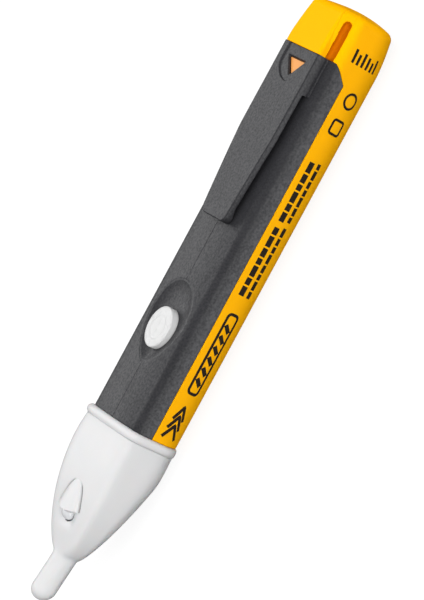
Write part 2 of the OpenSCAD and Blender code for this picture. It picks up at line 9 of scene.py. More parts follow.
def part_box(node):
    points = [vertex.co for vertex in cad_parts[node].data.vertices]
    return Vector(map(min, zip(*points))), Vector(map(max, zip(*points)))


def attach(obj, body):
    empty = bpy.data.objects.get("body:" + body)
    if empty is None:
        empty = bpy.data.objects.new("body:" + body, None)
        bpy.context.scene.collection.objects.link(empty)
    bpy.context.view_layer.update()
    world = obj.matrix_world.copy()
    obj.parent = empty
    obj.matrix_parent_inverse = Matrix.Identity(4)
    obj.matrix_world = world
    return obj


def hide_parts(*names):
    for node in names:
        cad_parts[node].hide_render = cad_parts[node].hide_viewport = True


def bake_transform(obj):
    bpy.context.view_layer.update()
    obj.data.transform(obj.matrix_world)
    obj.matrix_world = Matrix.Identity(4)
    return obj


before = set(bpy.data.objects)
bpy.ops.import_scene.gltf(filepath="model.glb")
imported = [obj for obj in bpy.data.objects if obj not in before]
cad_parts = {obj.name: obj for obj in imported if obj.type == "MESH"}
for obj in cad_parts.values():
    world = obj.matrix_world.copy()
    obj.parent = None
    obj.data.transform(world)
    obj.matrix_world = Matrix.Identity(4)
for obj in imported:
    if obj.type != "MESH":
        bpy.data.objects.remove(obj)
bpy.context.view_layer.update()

MM = 0.001


# ---- the frame, in mm

def box_mm(node):
    """Low and high corners of a CAD node's box, in mm."""
    lo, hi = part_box(node)
    return [c / MM for c in lo], [c / MM for c in hi]


shell_lo, shell_hi = box_mm("front_shell")
tray_lo, tray_hi = box_mm("battery_tray")
nose_lo, nose_hi = box_mm("nose_cone")
clip_lo, clip_hi = box_mm("pocket_clip")
button_lo, button_hi = box_mm("push_button")
latch_lo, latch_hi = box_mm("latch_tab")

# Stations along the body
TIP_X = nose_lo[0]
SHELL_X0 = shell_lo[0]
SHELL_X1 = shell_hi[0]
CAP_X0 = SHELL_X1 + 0.03
CAP_X1 = tray_hi[0]
BUTTON_X = (button_lo[0] + button_hi[0]) / 2
ROOT_X = clip_hi[0] - 1.0
CLIP_X0 = clip_lo[0]
# Widths
HALF_W = tray_hi[1]
CLIP_HALF = clip_hi[1]
WALL = 1.4
# Heights above the flat back
FRONT_Z = 16.5
CLIP_TOP = shell_hi[2]
LATCH_TOP = latch_hi[2]
BUTTON_TOP = button_hi[2]
SEAM_Z = shell_lo[2] - 0.03
MID_Z = 9.3
AXIS_Z = 9.0
# The seam climbs from SEAM_Z to CUT_TOP between CUT_X and the cap
CUT_X = CAP_X0 - 3.6
CUT_TOP = SEAM_Z + 4.1


# ---- materials

def add_node(nt, kind, **settings):
    """A new shader node with these inputs, spaces in their names written as underscores."""
    node = nt.nodes.new("ShaderNode" + kind)
    for key, value in settings.items():
        node.inputs[key.replace("_", " ")].default_value = value
    return node


def noise(nt, scale, detail):
    """The output of a noise in object space."""
    node = add_node(nt, "TexNoise", Scale=scale, Detail=detail)
    nt.links.new(add_node(nt, "TexCoord").outputs["Object"], node.inputs["Vector"])
    return node.outputs["Fac"]


def mapped(nt, value, lo, hi, to_lo, to_hi):
    """The output that maps the value from lo..hi to to_lo..to_hi."""
    node = add_node(nt, "MapRange", From_Min=lo, From_Max=hi, To_Min=to_lo, To_Max=to_hi)
    nt.links.new(value, node.inputs["Value"])
    return node.outputs["Result"]


def material(name, color, rough=0.5, spec=0.5, grain=0.0, grain_size=0.4, mottle=0.0, metal=0.0,
             coat=0.0, subsurface=0.0, transmission=0.0, sparkle=0.0):
    """A plastic or metal with a fine grain, a faint mottle and an uneven sheen, all from noise."""
    m = bpy.data.materials.new(name)
    m.use_nodes = True
    nt = m.node_tree
    shader = nt.nodes["Principled BSDF"].inputs
    for key, value in (("Base Color", (*color, 1)), ("Roughness", rough), ("Specular IOR Level", spec),
                       ("Metallic", metal), ("Coat Weight", coat), ("Subsurface Weight", subsurface),
                       ("Subsurface Scale", 0.002), ("Transmission Weight", transmission)):
        shader[key].default_value = value
    if mottle > 0:
        shade = add_node(nt, "VectorMath")
        shade.operation = "SCALE"
        shade.inputs[0].default_value = color
        level = mapped(nt, noise(nt, 260, 4), 0.3, 0.7, 1 - mottle, 1 + mottle)
        nt.links.new(level, shade.inputs["Scale"])
        nt.links.new(shade.outputs["Vector"], shader["Base Color"])
    if sparkle > 0:
        level = mapped(nt, noise(nt, 1900, 1), 0.32, 0.68, spec * (1 - sparkle), spec * (1 + sparkle))
        nt.links.new(level, shader["Specular IOR Level"])
    if grain > 0:
        bump = add_node(nt, "Bump", Strength=1, Distance=grain * MM)
        nt.links.new(noise(nt, 1 / (grain_size * MM), 2), bump.inputs["Height"])
        nt.links.new(bump.outputs["Normal"], shader["Normal"])
    return m


GREY = material("grey_case", (0.027, 0.027, 0.030), 0.42, spec=0.34, grain=0.045, grain_size=0.55, mottle=0.1,
                sparkle=0.4)
YELLOW = material("yellow_case", (0.96, 0.44, 0.0), 0.5, spec=0.02, grain=0.004, mottle=0.012)
# Painted shade: the cap's yellow plastic made darker orange for the channel beside the hump, where shade falls
GROOVE_SHADE = material("groove_painted_shade", (0.62, 0.17, 0.0), 0.6, spec=0.02, grain=0.004, mottle=0.03)
# Painted shade: the latch is the cap's yellow plastic, made darker and more orange for the shade it lies in under
# the window
LATCH_SHADED_YELLOW = material("latch_yellow_painted_shade", (0.82, 0.34, 0.08), 0.45, spec=0.3, grain=0.004, mottle=0.02)
NOSE = material("nose_white", (0.61, 0.61, 0.615), 0.4, spec=0.4, grain=0.003, mottle=0.008, subsurface=0.08)
WHITE = material("button_white", (0.59, 0.59, 0.59), 0.35, spec=0.4, grain=0.004, mottle=0.012)
LENS = material("lamp_lens", (0.66, 0.67, 0.69), 0.08, spec=0.8, mottle=0.01, coat=0.8)
INK = material("print_black", (0.010, 0.007, 0.004), 0.6, spec=0.08, mottle=0.1)
BLACK = material("plain_black", (0.02, 0.02, 0.021), 0.45, grain=0.006, mottle=0.05)
STEEL = material("steel", (0.62, 0.62, 0.63), 0.28, metal=1.0, grain=0.003, mottle=0.05)
TIN = material("tinned", (0.74, 0.74, 0.73), 0.3, metal=1.0, mottle=0.04)
BRASS = material("brass", (0.78, 0.57, 0.25), 0.25, metal=1.0, grain=0.003, mottle=0.06)
BOARD = material("board_green", (0.012, 0.13, 0.045), 0.3, coat=0.4, grain=0.004, mottle=0.12)
CHIP = material("chip_epoxy", (0.02, 0.02, 0.022), 0.55, grain=0.006, mottle=0.08)
PASSIVE = material("passives", (0.3, 0.2, 0.12), 0.4, grain=0.004, mottle=0.2)
RED = material("red_epoxy", (0.62, 0.02, 0.015), 0.08, coat=0.5, mottle=0.03, transmission=0.4)
JACKET = material("red_wire", (0.5, 0.02, 0.015), 0.4, mottle=0.05)


# Painted shade: the nose's colour is mixed towards dark grey by its mesh attribute crease, in the line round the
# hood and in the lamp's pocket
CREASE_SHADE_COLOR = (0.2, 0.2, 0.205, 1)


def paint_crease_shade(mat):
    nt = mat.node_tree
    base = nt.nodes["Principled BSDF"].inputs["Base Color"]
    crease = add_node(nt, "Attribute")
    crease.attribute_name = "crease"
    mix = add_node(nt, "Mix")
    mix.data_type = "RGBA"
    factor, plain, dark = mix.inputs[0], mix.inputs[6], mix.inputs[7]
    dark.default_value = CREASE_SHADE_COLOR
    nt.links.new(crease.outputs["Fac"], factor)
    nt.links.new(base.links[0].from_socket, plain)
    nt.links.new(mix.outputs[2], base)


paint_crease_shade(NOSE)

# Bands along a cell: where each begins, as a share of its length, and its colour
CELL_BANDS = ((0.0, (0.6, 0.6, 0.6, 1)), (0.02, (0.52, 0.25, 0.08, 1)), (0.26, (0.7, 0.7, 0.68, 1)),
              (0.275, (0.03, 0.035, 0.045, 1)), (0.985, (0.6, 0.6, 0.6, 1)))


def cell_material(name, x0, x1):
    """A cell's printed sleeve: dark, with a copper end and thin pale lines."""
    m = material(name, (0.03, 0.035, 0.045), 0.25, coat=0.5, grain=0.002)
    nt = m.node_tree
    split = add_node(nt, "SeparateXYZ")
    ramp = add_node(nt, "ValToRGB")
    ramp.color_ramp.interpolation = "CONSTANT"
    stops = ramp.color_ramp.elements
    for k, (position, color) in enumerate(CELL_BANDS):
        stop = stops[k] if k < 2 else stops.new(position)
        stop.position, stop.color = position, color
    nt.links.new(add_node(nt, "TexCoord").outputs["Object"], split.inputs["Vector"])
    nt.links.new(mapped(nt, split.outputs["X"], x0 * MM, x1 * MM, 0, 1), ramp.inputs["Fac"])
    nt.links.new(ramp.outputs["Color"], nt.nodes["Principled BSDF"].inputs["Base Color"])
    return m


# ---- mesh tools

SHARP = 32  # degrees between faces that makes a sharp edge


def mesh_object(name, verts, faces, mat, smooth=SHARP):
    """An object of one welded mesh, from points in mm."""
    me = bpy.data.meshes.new(name)
    me.from_pydata((np.asarray(verts, float) * MM).tolist(), [], [list(map(int, f)) for f in faces])
    bm = bmesh.new()
    bm.from_mesh(me)
    bmesh.ops.remove_doubles(bm, verts=bm.verts, dist=1e-7)
    bmesh.ops.dissolve_degenerate(bm, edges=bm.edges, dist=1e-8)
    bmesh.ops.recalc_face_normals(bm, faces=bm.faces)
    bm.to_mesh(me)
    bm.free()
    me.shade_smooth()
    me.set_sharp_from_angle(angle=math.radians(smooth))
    ob = bpy.data.objects.new(name, me)
    bpy.context.collection.objects.link(ob)
    if mat:
        me.materials.append(mat)
    return ob


def at_x(x, yz):
    """Points (y, z) set at station x."""
    return np.c_[np.full(len(yz), x), yz]


def at_z(xy, z):
    """Points (x, y) set at height z."""
    return np.c_[xy, np.full(len(xy), z)]


def strip(a, b, closed=False):
    """Quads between two rows of vertex numbers."""
    n = len(a)
    last = n if closed else n - 1
    return [(a[k], a[(k + 1) % n], b[(k + 1) % n], b[k]) for k in range(last)]


def skin(rows, closed=False):
    """Quads from each row of vertex numbers to the next."""
    return [quad for a, b in zip(rows[:-1], rows[1:]) for quad in strip(a, b, closed)]


def loft(name, rings, mat, smooth=SHARP, ends="fan"):
    """A closed skin through rings of equal length, each a closed loop of points."""
    rings = np.asarray(rings, float)
    m, n = rings.shape[:2]
    verts = rings.reshape(-1, 3)
    faces = skin(np.arange(m * n).reshape(m, n), closed=True)
    if ends == "fan":
        centres = np.array([rings[0].mean(axis=0), rings[-1].mean(axis=0)])
        verts = np.vstack([verts, centres])
        faces += [(k, (k + 1) % n, m * n) for k in range(n)]
        faces += [((m - 1) * n + (k + 1) % n, (m - 1) * n + k, m * n + 1) for k in range(n)]
    elif ends == "strip":
        half = n // 2
        for base in (0, (m - 1) * n):
            faces += [(base + k, base + k + 1, base + n - 2 - k, base + n - 1 - k) for k in range(half - 1)]
    return mesh_object(name, verts, faces, mat, smooth)


def cut(ob, cutter):
    """Carves the cutter out of ob for good and removes the cutter. Slivers are welded away."""
    mod = ob.modifiers.new("cut", "BOOLEAN")
    mod.operation = "DIFFERENCE"
    mod.solver = "EXACT"
    mod.object = cutter
    bpy.context.view_layer.update()
    done = bpy.data.meshes.new_from_object(ob.evaluated_get(bpy.context.evaluated_depsgraph_get()))
    ob.modifiers.remove(mod)
    bm = bmesh.new()
    bm.from_mesh(done)
    bmesh.ops.remove_doubles(bm, verts=bm.verts, dist=1e-6)
    bmesh.ops.triangulate(bm, faces=[f for f in bm.faces if len(f.verts) > 4])
    bmesh.ops.dissolve_degenerate(bm, edges=bm.edges, dist=5e-7)
    bm.to_mesh(done)
    bm.free()
    old = ob.data
    ob.data = done
    bpy.data.meshes.remove(old)
    bpy.data.objects.remove(cutter, do_unlink=True)
    ob.data.shade_smooth()
    ob.data.set_sharp_from_angle(angle=math.radians(SHARP))
    return ob


def join(name, parts):
    """One object out of several, keeping each part's material."""
    main = parts[0]
    bm = bmesh.new()
    mats = []
    for p in parts:
        slots = []
        for mat in p.data.materials:
            if mat not in mats:
                mats.append(mat)
            slots.append(mats.index(mat))
        start = len(bm.faces)
        bm.from_mesh(p.data)
        bm.faces.ensure_lookup_table()
        for f in list(bm.faces)[start:]:
            f.material_index = slots[f.material_index] if slots else 0
    me = bpy.data.meshes.new(name)
    bm.to_mesh(me)
    bm.free()
    for mat in mats:
        me.materials.append(mat)
    me.shade_smooth()
    me.set_sharp_from_angle(angle=math.radians(SHARP))
    main.data = me
    main.name = name
    for p in parts[1:]:
        bpy.data.objects.remove(p, do_unlink=True)
    return main


def block(name, x, y, z):
    """A box between the pairs x, y and z, used as a cutter."""
    v = [(a, b, c) for a in x for b in y for c in z]
    f = [(0, 1, 3, 2), (4, 6, 7, 5), (0, 4, 5, 1), (2, 3, 7, 6), (0, 2, 6, 4), (1, 5, 7, 3)]
    return mesh_object(name, v, f, None)


def oval(a, b, n=72):
    t = np.linspace(0, 2 * math.pi, n, endpoint=False)
    return np.c_[a * np.cos(t), b * np.sin(t)]


def oval_prism(name, a, b, z0, z1):
    """An upright oval about the button's axis."""
    o = oval(a, b) + [BUTTON_X, 0]
    return loft(name, [at_z(o, z) for z in (z0, z1)], None)


def lathe(name, place, profile, mat, n=32, axis="z"):
    """A solid of revolution about an axis through place, from (radius, height) pairs.

    The profile closes on itself, or on the axis if an end of it lies there.
    """
    t = np.linspace(0, 2 * math.pi, n, endpoint=False)
    rings = []
    for r, h in profile:
        r = max(r, 1e-4)
        ring = np.c_[r * np.cos(t), r * np.sin(t), np.full(n, h)]
        if axis == "x":
            ring = ring[:, [2, 0, 1]]
        rings.append(ring + np.array(place))
    if profile[0][0] > 0.01 and profile[-1][0] > 0.01:
        rows = np.arange(len(rings) * n).reshape(-1, n)
        return mesh_object(name, np.vstack(rings), skin([*rows, rows[0]], closed=True), mat)
    return loft(name, rings, mat)


def rounded_loop(points, r, n=4):
    """A closed polygon with rounded corners."""
    pts = np.asarray(points, float)
    out = []
    for k in range(len(pts)):
        a, b, c = pts[k - 1], pts[k], pts[(k + 1) % len(pts)]
        u = (a - b) / np.linalg.norm(a - b)
        w = (c - b) / np.linalg.norm(c - b)
        cut_back = min(r, 0.45 * np.linalg.norm(a - b), 0.45 * np.linalg.norm(c - b))
        p, q = b + u * cut_back, b + w * cut_back
        for t in np.linspace(0, 1, n + 1):
            out.append((1 - t) ** 2 * p + 2 * t * (1 - t) * b + t * t * q)
    return np.array(out)


def prism_x(name, loop, x0, x1, mat, r=0.15):
    """A bar along X with this (y, z) section and softened ends."""
    mid = loop.mean(axis=0)
    span = np.abs(loop - mid).max()
    rings = []
    for x, shrink in ((x0, r), (x0 + 0.3 * r, 0.4 * r), (x0 + r, 0), (x1 - r, 0), (x1 - 0.3 * r, 0.4 * r), (x1, r)):
        ring = mid + (loop - mid) * (1 - shrink / span)
        rings.append(at_x(x, ring))
    return loft(name, rings, mat)


def smooth01(t):
    t = np.clip(t, 0, 1)
    return t * t * (3 - 2 * t)


def bell(reach, sigma):
    """Weights of a smoothing window of 2 * reach + 1 samples."""
    g = np.exp(-0.5 * (np.arange(-reach, reach + 1) / sigma) ** 2)
    return g / g.sum()


def smin(a, b, k):
    """The smaller of a and b, blended where they differ by less than k."""
    h = np.maximum(k - np.abs(a - b), 0) / k
    return np.minimum(a, b) - h * h * k * 0.25


def edge_round(d, r):
    """How far a surface falls back at distance d from its edge, for an edge of radius r."""
    d = np.clip(d, 0, r)
    return r - np.sqrt(np.maximum(0, r * r - (r - d) ** 2))


def spaced(a, b, step):
    """Even stations from a to b, about step apart."""
    return np.linspace(a, b, max(2, int(round(abs(b - a) / step)) + 1))


def unique(*parts):
    """Sorted stations without near repeats."""
    out = []
    for v in np.sort(np.concatenate([np.atleast_1d(p) for p in parts])):
        if not out or v - out[-1] > 1e-4:
            out.append(v)
    return np.array(out)


# Rounded rim of the shell and the tray: its radius, and stations across it
RIM_R = 0.2
RIM = np.array([0, 0.012, 0.045, 0.09, 0.14, RIM_R])


# ---- the body's cross-section

class Section:
    """The rounded outline of the body, by distance along it and by angle about the middle."""

    def __init__(self):
        step, count = 0.04, 1600
        crown_r, corner_r, flank_r, flank_z = 56.0, 2.5, 9.5, 8.9
        cy = HALF_W - corner_r
        cz = FRONT_Z - (crown_r - math.sqrt(crown_r ** 2 - cy ** 2)) - corner_r
        fy = HALF_W - flank_r
        low = math.asin(flank_z / flank_r)

        def arc(y, z, r, a0, a1):
            a = np.arange(a0, a1, -step / r)
            return np.c_[y + r * np.cos(a), z + r * np.sin(a)]

        crown = np.arange(0, cy, step)
        side = np.arange(cz, flank_z, -step)
        foot = np.arange(fy + flank_r * math.cos(low), 0, -step)
        half = np.vstack([np.c_[crown, FRONT_Z - crown_r + np.sqrt(crown_r ** 2 - crown ** 2)],
                          arc(cy, cz, corner_r, math.pi / 2, 0), np.c_[np.full_like(side, HALF_W), side],
                          arc(fy, flank_z, flank_r, 0, -low), np.c_[foot, np.zeros_like(foot)]])
        loop = self.even(np.vstack([half, (half * [-1, 1])[::-1]]), count)
        # Soften the joints between the arcs
        soft = np.zeros_like(loop)
        for shift, weight in zip(range(-24, 25), bell(24, 0.3 / step)):
            soft += weight * np.roll(loop, shift, axis=0)
        loop = self.even(soft, count)
        seg = np.linalg.norm(np.roll(loop, -1, axis=0) - loop, axis=1)
        self.length = seg.sum()
        self.s = np.r_[0, np.cumsum(seg)[:-1]]
        t = np.roll(loop, -1, axis=0) - np.roll(loop, 1, axis=0)
        t /= np.linalg.norm(t, axis=1)[:, None]
        self.p = loop
        self.n = np.c_[-t[:, 1], t[:, 0]]
        self.polar = {}

    @staticmethod
    def even(loop, n):
        """The closed loop as n points at even distances."""
        ring = np.vstack([loop, loop[:1]])
        d = np.r_[0, np.cumsum(np.linalg.norm(np.diff(ring, axis=0), axis=1))]
        at = np.linspace(0, d[-1], n, endpoint=False)
        return np.c_[np.interp(at, d, ring[:, 0]), np.interp(at, d, ring[:, 1])]

    def at(self, s, inset=0.0):
        """Points at distance s from the top middle, positive towards +Y."""
        s = np.mod(s, self.length)
        grid = np.r_[self.s, self.length]
        out = []
        for axis in (0, 1):
            p = np.interp(s, grid, np.r_[self.p[:, axis], self.p[0, axis]])
            n = np.interp(s, grid, np.r_[self.n[:, axis], self.n[0, axis]])
            out.append(p - np.asarray(inset) * n)
        return np.stack(out, axis=-1)

    def s_at_z(self, z):
        """Distance along the upper +Y flank at height z."""
        top = int(len(self.s) * 0.37)
        zs = self.p[:top, 1]
        return np.interp(-np.asarray(z), -zs, self.s[:top])

    def radius(self, theta, inset=0.0):
        """Distance from the axis in the directions theta, and how squarely the surface faces it."""
        key = round(float(inset), 4)
        if key not in self.polar:
            q = self.p - inset * self.n - [0, AXIS_Z]
            th = np.arctan2(q[:, 1], q[:, 0])
            r = np.hypot(q[:, 0], q[:, 1])
            slant = np.abs((self.n * (q / r[:, None])).sum(axis=1))
            order = np.argsort(th)
            wrap = np.r_[slant[order][-60:], slant[order], slant[order][:60]]
            self.polar[key] = (th[order], r[order], np.convolve(wrap, bell(60, 22), mode="valid"))
        th, r, slant = self.polar[key]
        theta = np.mod(np.asarray(theta) + math.pi, 2 * math.pi) - math.pi
        return np.interp(theta, th, r, period=2 * math.pi), np.interp(theta, th, slant, period=2 * math.pi)

    def theta_at_z(self, z):
        """Angle of the upper +Y flank at height z."""
        p = self.at(self.s_at_z(z))
        return np.arctan2(p[..., 1] - AXIS_Z, p[..., 0])


SEC = Section()


def seam_height(x):
    """Height of the seam, which climbs to the front face just before the cap."""
    return SEAM_Z + (CUT_TOP - SEAM_Z) * np.clip((np.asarray(x, float) - CUT_X) / (CAP_X0 - CUT_X), 0, 1)


# ---- thumb recess

REC_X0 = BUTTON_X - 8.6
REC_X1 = BUTTON_X + 12.1
REC_HALF = 7.0
REC_DEEP = 1.35


def recess_rho(x, y):
    """0 in the middle of the egg-shaped recess and 1 on its rim. It is pointed towards the tip."""
    mid = BUTTON_X + 3.0
    tx = np.where(x > mid, (x - mid) / (REC_X1 - mid), (mid - x) / (mid - REC_X0))
    ty = np.abs(y) / REC_HALF
    round_end = tx ** 2.1 + ty ** 2.1
    point_end = tx ** 1.75 + ty ** 1.45
    return np.where(x > mid, round_end ** (1 / 2.1), point_end ** (1 / 1.6))


def recess_depth(x, y):
    """Depth of the thumb recess, with a fine crease along its rim."""
    rho = recess_rho(x, y)
    bowl = REC_DEEP * (1 - np.clip(rho, 0, 3) ** 2.8)
    soft = 0.035
    crease = 0.085 * np.exp(-((rho - 1) * 7.5 / 0.14) ** 2)
    return 0.5 * (bowl + np.sqrt(bowl ** 2 + soft ** 2)) - 0.5 * soft * np.exp(-np.clip(bowl, -9, 0) ** 2) + crease


def mould_line(x, y):
    """The raised hairline down the middle of the front face."""
    outside = smooth01((recess_rho(x, y) - 1) / 0.05)
    return 0.05 * np.exp(-(y / 0.16) ** 2) * outside


# ---- front shell

# A screw boss, as (radius, height) pairs, and its foot's height
BOSS = [(0.75, 0), (1.5, 0), (1.62, 0.1), (1.68, 1.6), (2.1, 2.25), (2.3, 2.45), (0.75, 2.5)]
BOSS_Z = 12.84
SCREW_R = 1.25


def latch_channel():
    """Cutter for the space behind the window, where the latch lies."""
    return block("channel", (latch_lo[0] - 0.5, CAP_X0 + 1), (-3.9, 3.9), (11.6, LATCH_TOP + 0.1))


def build_shell():
    s_full = SEC.s_at_z(SEAM_Z + 0.03)
    dense = spaced(-7.7, 7.7, 0.15)
    rest = unique(spaced(7.7, 13.6, 0.25), spaced(13.6, s_full - RIM_R, 0.5), s_full - RIM)
    middle = np.array([-0.24, -0.16, -0.08, 0, 0.08, 0.16, 0.24])
    cols = unique(-rest, dense[np.abs(dense) > 0.3], middle, rest)
    xs = unique(
        SHELL_X0 + RIM, spaced(SHELL_X0 + RIM_R, REC_X0 - 0.6, 1.0),
        spaced(REC_X0 - 0.6, REC_X1 + 0.6, 0.16), spaced(REC_X1 + 0.6, CUT_X, 1.0),
        spaced(CUT_X, SHELL_X1 - RIM_R, 0.3), SHELL_X1 - RIM,
    )
    rings = []
    for x in xs:
        s_edge = SEC.s_at_z(seam_height(x) + 0.03)
        s = cols * (s_edge / s_full)
        end = min(x - SHELL_X0, SHELL_X1 - x)
        back = edge_round(s_edge - np.abs(s), RIM_R) + edge_round(end, RIM_R)
        outer = SEC.at(s, np.minimum(back, WALL - 0.2))
        y = outer[:, 0]
        deep = np.where(np.abs(s) < 8.2, recess_depth(x, y), 0)
        ridge = mould_line(x, y)
        outer[:, 1] += ridge - deep
        rho = recess_rho(x, y)
        thick = 0.55 * np.where(np.abs(s) < 9, smooth01((1.35 - rho) / 0.45), 0)
        inner = SEC.at(s, WALL)
        inner[:, 1] -= thick
        loop = np.vstack([outer, inner[::-1]])
        rings.append(at_x(x, loop))
    ob = loft("shell", rings, GREY, ends="strip")
    # Oval opening for the button
    ob = cut(ob, oval_prism("hole", 5.08, 4.22, 12, 18))
    ob = cut(ob, latch_channel())
    bosses = []
    screw_lo, screw_hi = box_mm("board_screws")
    for x in (screw_lo[0] + SCREW_R, screw_hi[0] - SCREW_R):
        for side in (-1, 1):
            bosses.append(lathe("boss", (x, side * (screw_hi[1] - SCREW_R), BOSS_Z), BOSS, GREY))
    return join("shell", [ob] + bosses)


# ---- battery tray and end cap

TRAY_WALL = 1.2
MEAN_R = 10.6  # of the section, to turn angles into lengths
# The cap draws in from CAP_TAPER0 and its end is rounded from CAP_ROUND0
CAP_TAPER0 = CAP_X0 + 1.4
CAP_ROUND0 = CAP_X1 - 3.0
CAP_TAPER = 0.9
END_DEEP = 2.1
END_DRAW = 2.3 / 9.6
END_PHI = np.radians(np.linspace(0, 66, 14))
END_RHO = (0.97, 0.93, 0.87, 0.79, 0.7, 0.6, 0.49, 0.37, 0.25, 0.14, 0.05, 0)
# The hollow of the cap: station and share of the radius
HOLLOW = ((CAP_X0, 1), (CAP_X0 + 4, 0.98), (CAP_X1 - 4.4, 0.9), (CAP_X1 - 2.8, 0.8), (CAP_X1 - 1.9, 0.6),
          (CAP_X1 - 1.9, 0))
# Ends of the round channel beside the hump
GROOVE_A = np.array([CAP_X0 - 1.0, 7.55, 16.0])
GROOVE_B = np.array([CAP_X1 - 4.3, 6.97, 15.64])
CELL_HOLD_R = 5.32


def cap_taper(x):
    """How far the cap has drawn in at x."""
    return CAP_TAPER * max(0.0, (x - CAP_TAPER0) / (CAP_ROUND0 - CAP_TAPER0)) ** 1.7


def groove_distance(x, y, z):
    """Signed distance to the round channel beside the hump."""
    ab = GROOVE_B - GROOVE_A
    px, py, pz = x - GROOVE_A[0], np.abs(y) - GROOVE_A[1], z - GROOVE_A[2]
    t = np.clip((px * ab[0] + py * ab[1] + pz * ab[2]) / (ab ** 2).sum(), 0, 1)
    return np.sqrt((px - t * ab[0]) ** 2 + (py - t * ab[1]) ** 2 + (pz - t * ab[2]) ** 2) - (1.1 - 0.22 * t)


def cap_field(x, y, z, level):
    """Rough signed distance to the cap: body, hump and slope, drawn in by level, less the channels."""
    r = np.hypot(y, z - AXIS_Z)
    rb, slant = SEC.radius(np.arctan2(z - AXIS_Z, y))
    body = (r - rb) * slant
    go = smooth01((x - CAP_X0) / 7)
    edge = 0.75 + 0.4 * go
    qy = np.abs(y) - (CLIP_HALF - edge)
    qz = np.abs(z - 12) - (CLIP_TOP - 12 - edge)
    hump = np.hypot(np.maximum(qy, 0), np.maximum(qz, 0)) + np.minimum(np.maximum(qy, qz), 0) - edge
    slope = (np.abs(y) - 6.35) * 0.82 + (z - CLIP_TOP) * 0.573
    slope = -smin(-slope, CLIP_TOP - z, 1.2)
    slope = -smin(-slope, HALF_W - np.abs(y), 2.2)
    slope = np.maximum(slope, 12 - z) + 0.7 * (1 - go)
    f = np.minimum(smin(body, hump, 1.0), slope) + level
    return -smin(-f, groove_distance(x, y, z), 0.08)


def solve_radius(x, theta, level):
    """Radius of the cap's surface in the directions theta, drawn in by level."""
    lo = np.full(theta.shape, 4.0)
    hi = np.full(theta.shape, 15.0)
    c, s = np.cos(theta), np.sin(theta)
    for _ in range(26):
        mid = 0.5 * (lo + hi)
        inside = cap_field(x, mid * c, AXIS_Z + mid * s, level) < 0
        lo = np.where(inside, mid, lo)
        hi = np.where(inside, hi, mid)
    return 0.5 * (lo + hi)


def build_tray():
    """The tray's trough and the cap in one skin, with its cradles, lips and cheeks."""
    x0 = tray_lo[0]
    th_seam = SEC.theta_at_z(SEAM_Z - 0.03)
    th_top = SEC.theta_at_z(CUT_TOP - 0.03)
    # Columns from the +Y seam round the back to the -Y seam, as shares of that sweep
    arc = MEAN_R * (math.pi + 2 * th_seam)
    near = RIM / arc
    share = unique(near, spaced(RIM_R, arc - RIM_R, 0.42) / arc, 1 - near)
    n1 = len(share)
    # Columns over the top of the cap
    th = np.linspace(math.pi - th_top, th_top, 270)[1:-1]
    low = th_top - share * (math.pi + 2 * th_top)
    full = np.r_[low, th - 2 * math.pi]
    xs = unique(x0 + RIM, spaced(x0 + RIM_R, CUT_X, 1.2), spaced(CUT_X, CAP_X0 - 0.3, 0.3))
    verts, outer_rows, inner_rows = [], [], []

    def add_ring(x, theta, r):
        start = len(verts)
        verts.extend(at_x(x, np.c_[r * np.cos(theta), AXIS_Z + r * np.sin(theta)]).tolist())
        return np.arange(start, len(verts))

    for x in xs:
        edge = SEC.theta_at_z(seam_height(x) - 0.03)
        theta = edge - share * (math.pi + 2 * edge)
        dist = np.minimum(share, 1 - share) * MEAN_R * (math.pi + 2 * edge)
        back = edge_round(dist, RIM_R) + edge_round(x - x0, RIM_R)
        r = SEC.radius(theta)[0] - np.minimum(back, 0.6)
        outer_rows.append(add_ring(x, theta, r))
        inner_rows.append(add_ring(x, theta, SEC.radius(theta, TRAY_WALL)[0]))
    # The cap
    dist = np.r_[np.minimum(share, 1 - share) * MEAN_R * (math.pi + 2 * th_top), np.zeros(len(th))]
    cap_rows = []
    for x in unique(CAP_X0 + RIM, spaced(CAP_X0 + RIM_R, CAP_ROUND0, 0.15)):
        r = solve_radius(x, full, cap_taper(x)) - edge_round(np.hypot(dist, x - CAP_X0), RIM_R)
        cap_rows.append(add_ring(x, full, r))
    # Its rounded edge and domed end
    for p in END_PHI[1:]:
        end_x = CAP_ROUND0 + END_DEEP * math.sin(p)
        rim = r * (1 - END_DRAW * (1 - math.cos(p)))
        cap_rows.append(add_ring(end_x, full, rim))
    for rho in END_RHO:
        even = smooth01((1 - rho) / 0.7)
        x = end_x + (CAP_X1 - end_x) * (1 - rho ** 2)
        cap_rows.append(add_ring(x, full, rho * (rim * (1 - even) + rim.mean() * even)))
    r = SEC.radius(full, TRAY_WALL)[0]
    cap_inner = [add_ring(x, full, k * r) for x, k in HOLLOW]

    # The trough's rows end on the cap's first rows, and a strip closes the cap's mouth over the top
    outer_rows.append(cap_rows[0][:n1])
    inner_rows.append(cap_inner[0][:n1])
    faces = skin(outer_rows) + skin(inner_rows) + strip(outer_rows[0], inner_rows[0])
    for col in (0, n1 - 1):
        faces += strip([row[col] for row in outer_rows], [row[col] for row in inner_rows])
    faces += skin(cap_rows, closed=True) + skin(cap_inner, closed=True)
    faces += strip(*(np.r_[rows[0][n1 - 1:], rows[0][:1]] for rows in (cap_rows, cap_inner)))
    tray = mesh_object("tray", verts, faces, YELLOW)
    # Painted shade: the faces in the channel beside the hump get the darker orange
    tray.data.materials.append(GROOVE_SHADE)
    for face in tray.data.polygons:
        x, y, z = face.center / MM
        if x > CAP_X0 - 0.01 and z > 12 and groove_distance(x, y, z) < 0.12:
            face.material_index = 1

    parts = [tray]
    front_lo, front_hi = box_mm("battery_front")
    rear_lo, rear_hi = box_mm("battery_rear")
    cell_z = (front_lo[2] + front_hi[2]) / 2
    for x in (front_lo[0] + 12, front_hi[0] - 6, rear_lo[0] + 6, rear_hi[0] - 12):
        parts.append(cradle(x, cell_z))
    for side in (-1, 1):
        parts.append(lip(side))
        parts.append(cheek(side))
    return join("tray", parts)


